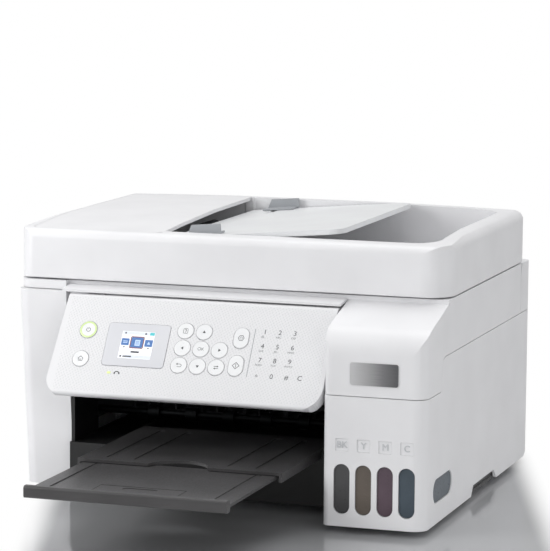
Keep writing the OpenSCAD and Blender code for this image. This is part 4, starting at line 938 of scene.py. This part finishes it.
@dataclass
class ControlPanel(Assembly):
    """The leaning control panel: its keys, prints, lit ring, lamp and screen."""

    tilt: float = 57.0
    top: tuple[float, float, float] = (0.0, 45.4, 177.2)
    key_grid: Point = (-9.1, -45.8)
    key_pitch: Point = (16.1, 15.4)
    power: Point = (-110.1, -34.3)
    home: Point = (-111.5, -60.6)
    pill_u: float = 23.6
    pill_v: Point = (-33.9, -58.6)
    key_top: float = 0.43
    pill_top: float = 0.63
    lcd: tuple[float, float, float, float] = (-65.3, -45.8, 28.4, 24.4)
    digit_u: tuple[float, ...] = (42.3, 55.0, 67.8, 79.1)
    digit_v: tuple[float, ...] = (-27.2, -40.0, -52.4, -66.2)
    digit_h: float = 4.3

    @property
    def plane(self) -> Plane:
        """The panel's own face: u to the right, v up the slope."""
        return Plane(place(*self.top), Matrix.Rotation(math.radians(self.tilt), 3, "X"))

    def key(self, column: int, row: int) -> Point:
        """Gives the middle of a round key in the cross of keys."""
        return (self.key_grid[0] + column * self.key_pitch[0],
                self.key_grid[1] - row * self.key_pitch[1])

    def sign(self, name: str, at: Point, outlines: Sequence[Sequence[Point]], body: str,
             finish: Finish, top: float, slot: str = "button_white") -> None:
        """Prints a sign on a key or on the panel.

        Args:
            name: The sign's name.
            at: Its middle on the panel.
            outlines: The flat shapes that it is made of, round their own middle.
            body: The body that carries it.
            finish: Its ink.
            top: How high its face stands over the panel.
            slot: The record's slot of its finish.
        """
        moved = [[(at[0] + u, at[1] + v) for u, v in outline] for outline in outlines]
        self.piece(name, slabs(self.plane, moved, top - 0.2, top), finish, body, slot)

    def arrow(self, turn: float) -> list[Point]:
        """Gives a solid triangle that points right, turned by some degrees."""
        a = math.radians(turn)
        return [(x * math.cos(a) - y * math.sin(a), x * math.sin(a) + y * math.cos(a))
                for x, y in ((-0.85, -1.35), (1.25, 0.0), (-0.85, 1.35))]

    def signs(self) -> None:
        """Prints the signs on the keys."""
        grey, dark, top = Finish.PRINT_GREY, Finish.PRINT_DARK, self.key_top
        power = stroke(arc(0, 0, 1.75, 118, 422, 16), 0.42) + stroke([(0, 0.5), (0, 2.1)], 0.42)
        self.sign("power_sign", self.power, power, "power_button", grey, top)
        house = stroke([(-2.4, 0.1), (0, 2.2), (2.4, 0.1)], 0.42) + stroke(
            [(-1.7, 0.5), (-1.7, -1.9), (1.7, -1.9), (1.7, 0.5)], 0.42) + stroke(
            [(-0.5, -1.9), (-0.5, -0.5), (0.5, -0.5), (0.5, -1.9)], 0.3)
        self.sign("home_sign", self.home, house, "home_button", grey, top)
        sheet = stroke(rounded(0, 0, 3.8, 4.4, 0.9, 3), 0.36, True)
        query = stroke(arc(0.0, 0.6, 0.75, 170, -60, 8) + [(0, -0.65)], 0.36) + [
            circle(0, -1.35, 0.26, 10)]
        self.sign("help_sign", self.key(-1, -1), sheet + query, "help_button", grey, top)
        for name, place_at, turn in (("up", self.key(0, -1), 90), ("left", self.key(-1, 0), 180),
                                     ("right", self.key(1, 0), 0), ("down", self.key(0, 1), 270)):
            self.sign(f"{name}_sign", place_at, [self.arrow(turn)], f"{name}_button", dark, top)
        u, v = self.key(0, 0)
        self.piece("ok_sign", words(self.plane, "OK", u, v, 2.9, top - 0.2, top),
                   grey, "ok_button", "button_white")
        back = stroke([(-1.2, 1.0), (1.1, 1.0)], 0.42) + stroke(
            arc(1.1, -0.2, 1.2, 90, -90, 10), 0.42) + stroke([(1.1, -1.4), (-1.4, -1.4)], 0.42)
        back.append([(-2.5, 1.0), (-1.1, 2.0), (-1.1, 0.0)])
        self.sign("back_sign", self.key(-1, 1), back, "back_button", grey, top)
        swap = stroke([(-1.9, 0.9), (0.8, 0.9)], 0.4) + stroke([(1.9, -0.9), (-0.8, -0.9)], 0.4)
        swap += [[(2.1, 0.9), (0.7, 1.75), (0.7, 0.05)],
                 [(-2.1, -0.9), (-0.7, -1.75), (-0.7, -0.05)]]
        self.sign("mode_sign", self.key(1, 1), swap, "mode_button", dark, top)
        stop = stroke(circle(0, 0, 2.5, 6), 0.5, True) + stroke(circle(0, 0, 1.05, 14), 0.36, True)
        self.sign("stop_sign", (self.pill_u, self.pill_v[0]), stop, "stop_button", grey,
                  self.pill_top)
        start = stroke([(0, 2.9), (2.9, 0), (0, -2.9), (-2.9, 0)], 0.5, True) + stroke(
            [(0, 1.5), (0, -1.5)], 0.5)
        self.sign("start_sign", (self.pill_u, self.pill_v[1]), start, "start_button", grey,
                  self.pill_top)

    def ring(self) -> None:
        """Adds the lit ring round the power button and the lamp beside the handset sign."""
        u, v = self.power
        profile = ((5.75, 0.1), (7.3, 0.0), (7.5, 0.25), (7.3, 0.55), (6.7, 0.76), (6.1, 0.74),
                   (5.75, 0.5))
        self.piece("power_light_ring", lathe(self.plane, u, v, profile),
                   Finish.RING_GREEN, "power_button", "power_ring")
        lens = slabs(self.plane, [rounded(-84.4, -71.4, 3.4, 2.0, 0.95, 5)], -0.3, 0.28, 0.2)
        self.piece("line_lamp", lens, Finish.LAMP_GREEN, "panel", "power_ring")
        handset = stroke(arc(0, -1.7, 2.5, 145, 35, 8), 0.75) + [
            rounded(-2.0, -0.75, 1.2, 1.5, 0.3, 2), rounded(2.0, -0.75, 1.2, 1.5, 0.3, 2)]
        self.sign("handset_sign", (-77.4, -70.9), handset, "panel", Finish.PRINT_DARK, 0.03,
                  "inner_black")

    def keypad(self) -> None:
        """Prints the number pad and the line beside it."""
        letters = ("", "ABC", "DEF", "GHI", "JKL", "MNO", "PQRS", "TUV", "WXYZ")
        digits, small = [], []
        for i in range(9):
            u, v = self.digit_u[i % 3], self.digit_v[i // 3]
            digits.append(words(self.plane, str(i + 1), u + 0.6, v, self.digit_h, -0.1, 0.03))
            text = letters[i] or "@ _"
            small.append(words(self.plane, text, u, v - 4.2, 1.75, -0.1, 0.03))
        for u, text in zip(self.digit_u, ("*", "0", "#", "C")):
            lift = -1.2 if text == "*" else 0.0
            digits.append(words(self.plane, text, u + 0.2, self.digit_v[3] + lift, self.digit_h,
                                -0.1, 0.03))
        self.piece("keypad_digits", joined("keypad_digits", digits),
                   Finish.PRINT_DARK, "panel", "inner_black")
        self.piece("keypad_letters", joined("keypad_letters", small),
                   Finish.PRINT_GREY, "panel", "inner_black")
        self.sign("keypad_line", (34.3, -46.2), [rounded(0, 0, 0.6, 43, 0.25, 3)], "panel",
                  Finish.PRINT_PALE, 0.03, "inner_black")

    def screen(self) -> None:
        """Builds the lit picture on the screen: a menu of three plain tiles."""
        u, v, w, h = self.lcd

        def layer(name: str, shapes: Sequence[Sequence[Point]], finish: Finish, top: float) -> None:
            """Adds one colour of the picture."""
            self.sign(name, (u, v), shapes, "panel", finish, top, "screen")

        layer("lcd_page", [rounded(0, 0, w, h, 0.3, 2)], Finish.LCD_WHITE, 0.36)
        layer("lcd_tiles", [rounded(-10.3, 2.6, 6.8, 6.2, 0.6, 3),
                            rounded(0, 2.4, 10.4, 9.2, 0.8, 3),
                            rounded(10.3, 2.2, 6.8, 6.2, 0.6, 3)], Finish.LCD_BLUE, 0.38)
        layer("lcd_frame", stroke(rounded(0, 2.4, 11.2, 10.0, 0.8, 3), 0.8, True),
              Finish.LCD_BROWN, 0.385)
        pictures = [rounded(-10.3, 3.2, 4.0, 0.7, 0.2, 2), rounded(-10.3, 1.9, 4.0, 0.7, 0.2, 2),
                    rounded(0.5, 2.1, 4.6, 5.4, 0.4, 3),
                    [(8.9, 1.1), (11.7, 1.1), (10.3, 3.9)]]
        layer("lcd_pictures", pictures, Finish.LCD_LIGHT_BLUE, 0.4)
        layer("lcd_picture_lines", [rounded(0.5, 3.2 - 1.1 * k, 3.0, 0.4, 0.15, 2)
                                    for k in range(3)], Finish.LCD_BLUE, 0.41)
        layer("lcd_status", [rounded(12.0, 10.6, 4.0, 2.6, 0.4, 2)], Finish.LCD_CYAN, 0.38)
        layer("lcd_bars", [rounded(0, 10.6, w - 1, 2.6, 0.2, 2),
                           rounded(3, -10.4, 22, 2.8, 0.2, 2)], Finish.LCD_PALE, 0.37)
        small = [circle(-11.3, 10.6, 0.8, 12), rounded(6.4, 10.5, 1.4, 1.6, 0.3, 2),
                 circle(-12.0, -10.4, 0.9, 12), rounded(-6.4, -10.4, 7.6, 1.2, 0.3, 2),
                 [(-11.6, -1.6), (-9.6, -1.6), (-10.6, -2.9)],
                 [(9.6, -1.9), (11.6, -1.9), (10.6, -3.2)],
                 rounded(-0.2, -6.2, 7.4, 1.5, 0.4, 2)]
        layer("lcd_signs", small, Finish.LCD_DARK, 0.39)

    def build(self) -> None:
        """Dresses the panel and adds its prints and lights."""
        skin = EmbossedPlastic("abs_panel_etched", "E4E4E6", "D9DADC", math.radians(self.tilt),
                               place(*self.top), (-134.0, -92.5), (100.5, -1.0)).make()
        self.dress(("control_panel",), skin)
        self.dress(("screen_window",), Finish.SCREEN_FRAME.material())
        self.dress([f"{name}_button" for name in (
            "power", "home", "help", "up", "left", "ok", "right", "back", "down", "mode", "stop",
            "start")], Finish.KEY_WHITE.material())
        self.signs()
        self.ring()
        self.keypad()
        self.screen()


@dataclass
class PaperPath(Assembly):
    """The output tray, the rear support and the rollers between them."""

    def build(self) -> None:
        """Dresses the tray, the rear feed and the rollers."""
        self.dress_each({
            Finish.TRAY_GREY: ("tray_stage_1", "tray_stage_2", "paper_stop"),
            Finish.TRAY_WHITE: ("paper_support", "support_extension"),
            Finish.GUIDE_GREY: ("paper_guide_left", "paper_guide_right"),
            Finish.INNER_BLACK: ("feed_chute",), Finish.MECH_BLACK: ("hopper_plate",),
            # the exit roller's black is painted shade for the mouth of the paper path
            Finish.SHAFT_STEEL: ("feed_roller",), Finish.BLACK_STEEL: ("exit_roller",),
            Finish.ROLLER_RUBBER: ("pick_roller",)})


@dataclass
class Mechanism(Assembly):
    """The chassis, the print carriage and what drives it."""

    def build(self) -> None:
        """Dresses the mechanism."""
        self.dress_each({
            Finish.ZINC_STEEL: ("chassis_frame",),
            Finish.MECH_BLACK: ("print_carriage", "platen", "star_wheel_bar",
                                "capping_station"),
            Finish.BELT_RUBBER: ("drive_belt",), Finish.MOTOR_STEEL: ("carriage_motor",)})


@dataclass
class ScannerUnit(Assembly):
    """The scanner with its hood, the lid over it and the document feeder on the lid."""

    def build(self) -> None:
        """Dresses the scanner, the lid and the feeder."""
        self.dress_each({
            Finish.WHITE_ABS: ("scanner_frame", "lid_body", "feeder_cover"),
            Finish.TRAY_WHITE: ("document_tray",), Finish.GLASS: ("scanner_glass",),
            Finish.SENSOR_BLACK: ("scan_carriage",), Finish.PAD_FOAM: ("pressure_pad",),
            Finish.DOC_GUIDE_GREY: ("document_guide_front", "document_guide_rear"),
            Finish.ROLLER_RUBBER: ("document_roller",)})


@dataclass
class Studio:
    """The camera, the pale floor and the soft lamps."""

    eye: Vector = field(default_factory=lambda: Vector((0.7886, -2.2874, 0.5190)))
    azimuth: float = 18.35
    elevation: float = 7.72
    roll: float = 0.45
    lens_mm: float = 190.8
    sensor_mm: float = 36.0
    floor_half: float = 6.0
    ambient: float = 0.49
    # half of the pool of shade and its middle, in metres
    footprint: Point = (0.201, 0.33)
    footprint_at: Point = (0.0475, -0.075)
    # sideways shift of the pool for each metre forwards, and how fast it ends beside the printer
    lean: float = 0.33
    side_haste: float = 4.0
    # how far past its edge the pool fades out, in metres
    fade: float = 0.13
    # what the lamps point at, and each lamp's place, side and watts
    aim: tuple[float, float, float] = (0.0, 0.0, 0.1)
    lamps: tuple[tuple[str, tuple[float, float, float], float, float], ...] = (
        ("key", (-0.8, -0.65, 0.62), 0.6, 6.4),
        ("fill", (1.0, -1.1, 0.4), 0.7, 2.6),
        ("overhead", (0.3, 0.5, 2.6), 2.0, 33.0))

    def camera(self) -> None:
        """Adds the camera and makes it the scene's own."""
        az, el, roll = (math.radians(a) for a in (self.azimuth, self.elevation, self.roll))
        back = Vector((math.sin(az) * math.cos(el), -math.cos(az) * math.cos(el), math.sin(el)))
        right = (-back).cross(Vector((0, 0, 1))).normalized()
        up = right.cross(-back)
        c, s = math.cos(roll), math.sin(roll)
        turned = Matrix((c * right + s * up, -s * right + c * up, back)).transposed()
        data = bpy.data.cameras.new("camera")
        data.lens, data.sensor_width = self.lens_mm, self.sensor_mm
        data.clip_start, data.clip_end = 0.05, 50.0
        camera = bpy.data.objects.new("camera", data)
        camera.matrix_world = Matrix.Translation(self.eye) @ turned.to_4x4()
        bpy.context.scene.collection.objects.link(camera)
        bpy.context.scene.camera = camera

    def lamp(self, name: str, at: Vector, aim: Vector, size: float, watts: float) -> None:
        """Adds a soft square lamp.

        Args:
            name: The lamp's name.
            at: Where it hangs, in metres.
            aim: What it points at.
            size: Its side, in metres.
            watts: Its power.
        """
        data = bpy.data.lights.new(name, "AREA")
        data.shape, data.size, data.energy = "SQUARE", size, watts
        lamp = bpy.data.objects.new(name, data)
        lamp.location = at
        lamp.rotation_euler = (aim - at).to_track_quat("-Z", "Y").to_euler()
        bpy.context.scene.collection.objects.link(lamp)

    def world(self) -> None:
        """Makes the room: even light on the object, white to the camera, also through glass."""
        world = bpy.data.worlds.new("room")
        bpy.context.scene.world = world
        world.use_nodes = True
        tree = world.node_tree
        tree.nodes.clear()
        path = add(tree, "NodeLightPath")
        seen = maths(tree, "MAXIMUM", path.outputs["Is Camera Ray"],
                     path.outputs["Is Transmission Ray"])
        strength = ranged(tree, seen, 0.0, 1.0, self.ambient)
        light = add(tree, "NodeBackground", {"Strength": strength})
        light.inputs["Color"].default_value = linear("FFFFFF")
        out = add(tree, "NodeOutputWorld")
        tree.links.new(light.outputs[0], out.inputs[0])

    def floor(self) -> None:
        """Lays a pale lacquered floor that fades into the white room.

        The pool of shade on it is painted for the camera's rays only. The object's own shadow
        and reflection lie over it.
        """
        material, tree, out = blank("floor_satin_lacquer")
        where = add(tree, "NodeTexCoord").outputs["Object"]
        half = Vector((*self.footprint, 1.0))
        across = add(tree, "NodeVectorMath", {0: where, 1: Vector((1.0, self.lean, 0.0))},
                     operation="DOT_PRODUCT").outputs["Value"]
        depth = add(tree, "NodeSeparateXYZ", {0: where}).outputs[1]
        leaning = add(tree, "NodeCombineXYZ", {0: across, 1: depth}).outputs[0]
        off = vectors(tree, "SUBTRACT", leaning, Vector((*self.footprint_at, 0.0)))
        past = vectors(tree, "SUBTRACT", vectors(tree, "ABSOLUTE", off), half)
        kept = vectors(tree, "MAXIMUM", past, Vector((0, 0, 0)))
        # the pool ends sooner beside the printer than before it
        kept = vectors(tree, "MULTIPLY", kept, Vector((self.side_haste, 1.0, 1.0)))
        gone = add(tree, "NodeVectorMath", {0: kept}, operation="LENGTH").outputs["Value"]
        camera = add(tree, "NodeLightPath").outputs["Is Camera Ray"]
        fade, near = (ranged(tree, gone, 0.0, self.fade, start, 1.0 - start,
                             interpolation_type="SMOOTHSTEP") for start in (0.0, 1.0))
        pool = maths(tree, "MULTIPLY", near, camera)
        pale = mixed(tree, spread(tree, grain(tree, 300, 1), 0, 1), linear("EDEDEE"),
                     linear("E6E7E8"))
        skin = add(tree, "NodeBsdfPrincipled",
                   {"Base Color": mixed(tree, pool, pale, linear("A6A7A9")),
                    "Roughness": spread(tree, grain(tree, 120, 2), 0.08, 0.11)})
        skin.inputs["IOR"].default_value = 1.5
        white = add(tree, "NodeEmission")
        white.inputs["Color"].default_value = linear("FFFFFF")
        factor = maths(tree, "MULTIPLY", fade, camera)
        blend = add(tree, "NodeMixShader", {0: factor, 1: skin.outputs[0], 2: white.outputs[0]})
        tree.links.new(blend.outputs[0], out.inputs[0])
        shape = bmesh.new()
        bmesh.ops.create_grid(shape, x_segments=8, y_segments=8, size=self.floor_half)
        mesh = baked(shape, "floor")
        mesh.materials.append(material)
        floor = bpy.data.objects.new("floor", mesh)
        bpy.context.scene.collection.objects.link(floor)

    def build(self) -> None:
        """Sets up the whole studio."""
        self.camera()
        self.world()
        self.floor()
        for name, at, size, watts in self.lamps:
            self.lamp(name, Vector(at), Vector(self.aim), size, watts)
        bpy.context.scene.view_settings.view_transform = "Standard"
        log.info("studio ready")


def main() -> None:
    """Builds the sub-assemblies in order, then the studio."""
    logging.basicConfig(level=logging.INFO, format="%(name)s: %(message)s")
    for part in (Case(), InkTanks(), ControlPanel(), PaperPath(), Mechanism(), ScannerUnit(),
                 Studio()):
        part.build()


if __name__ == "__main__":
    main()
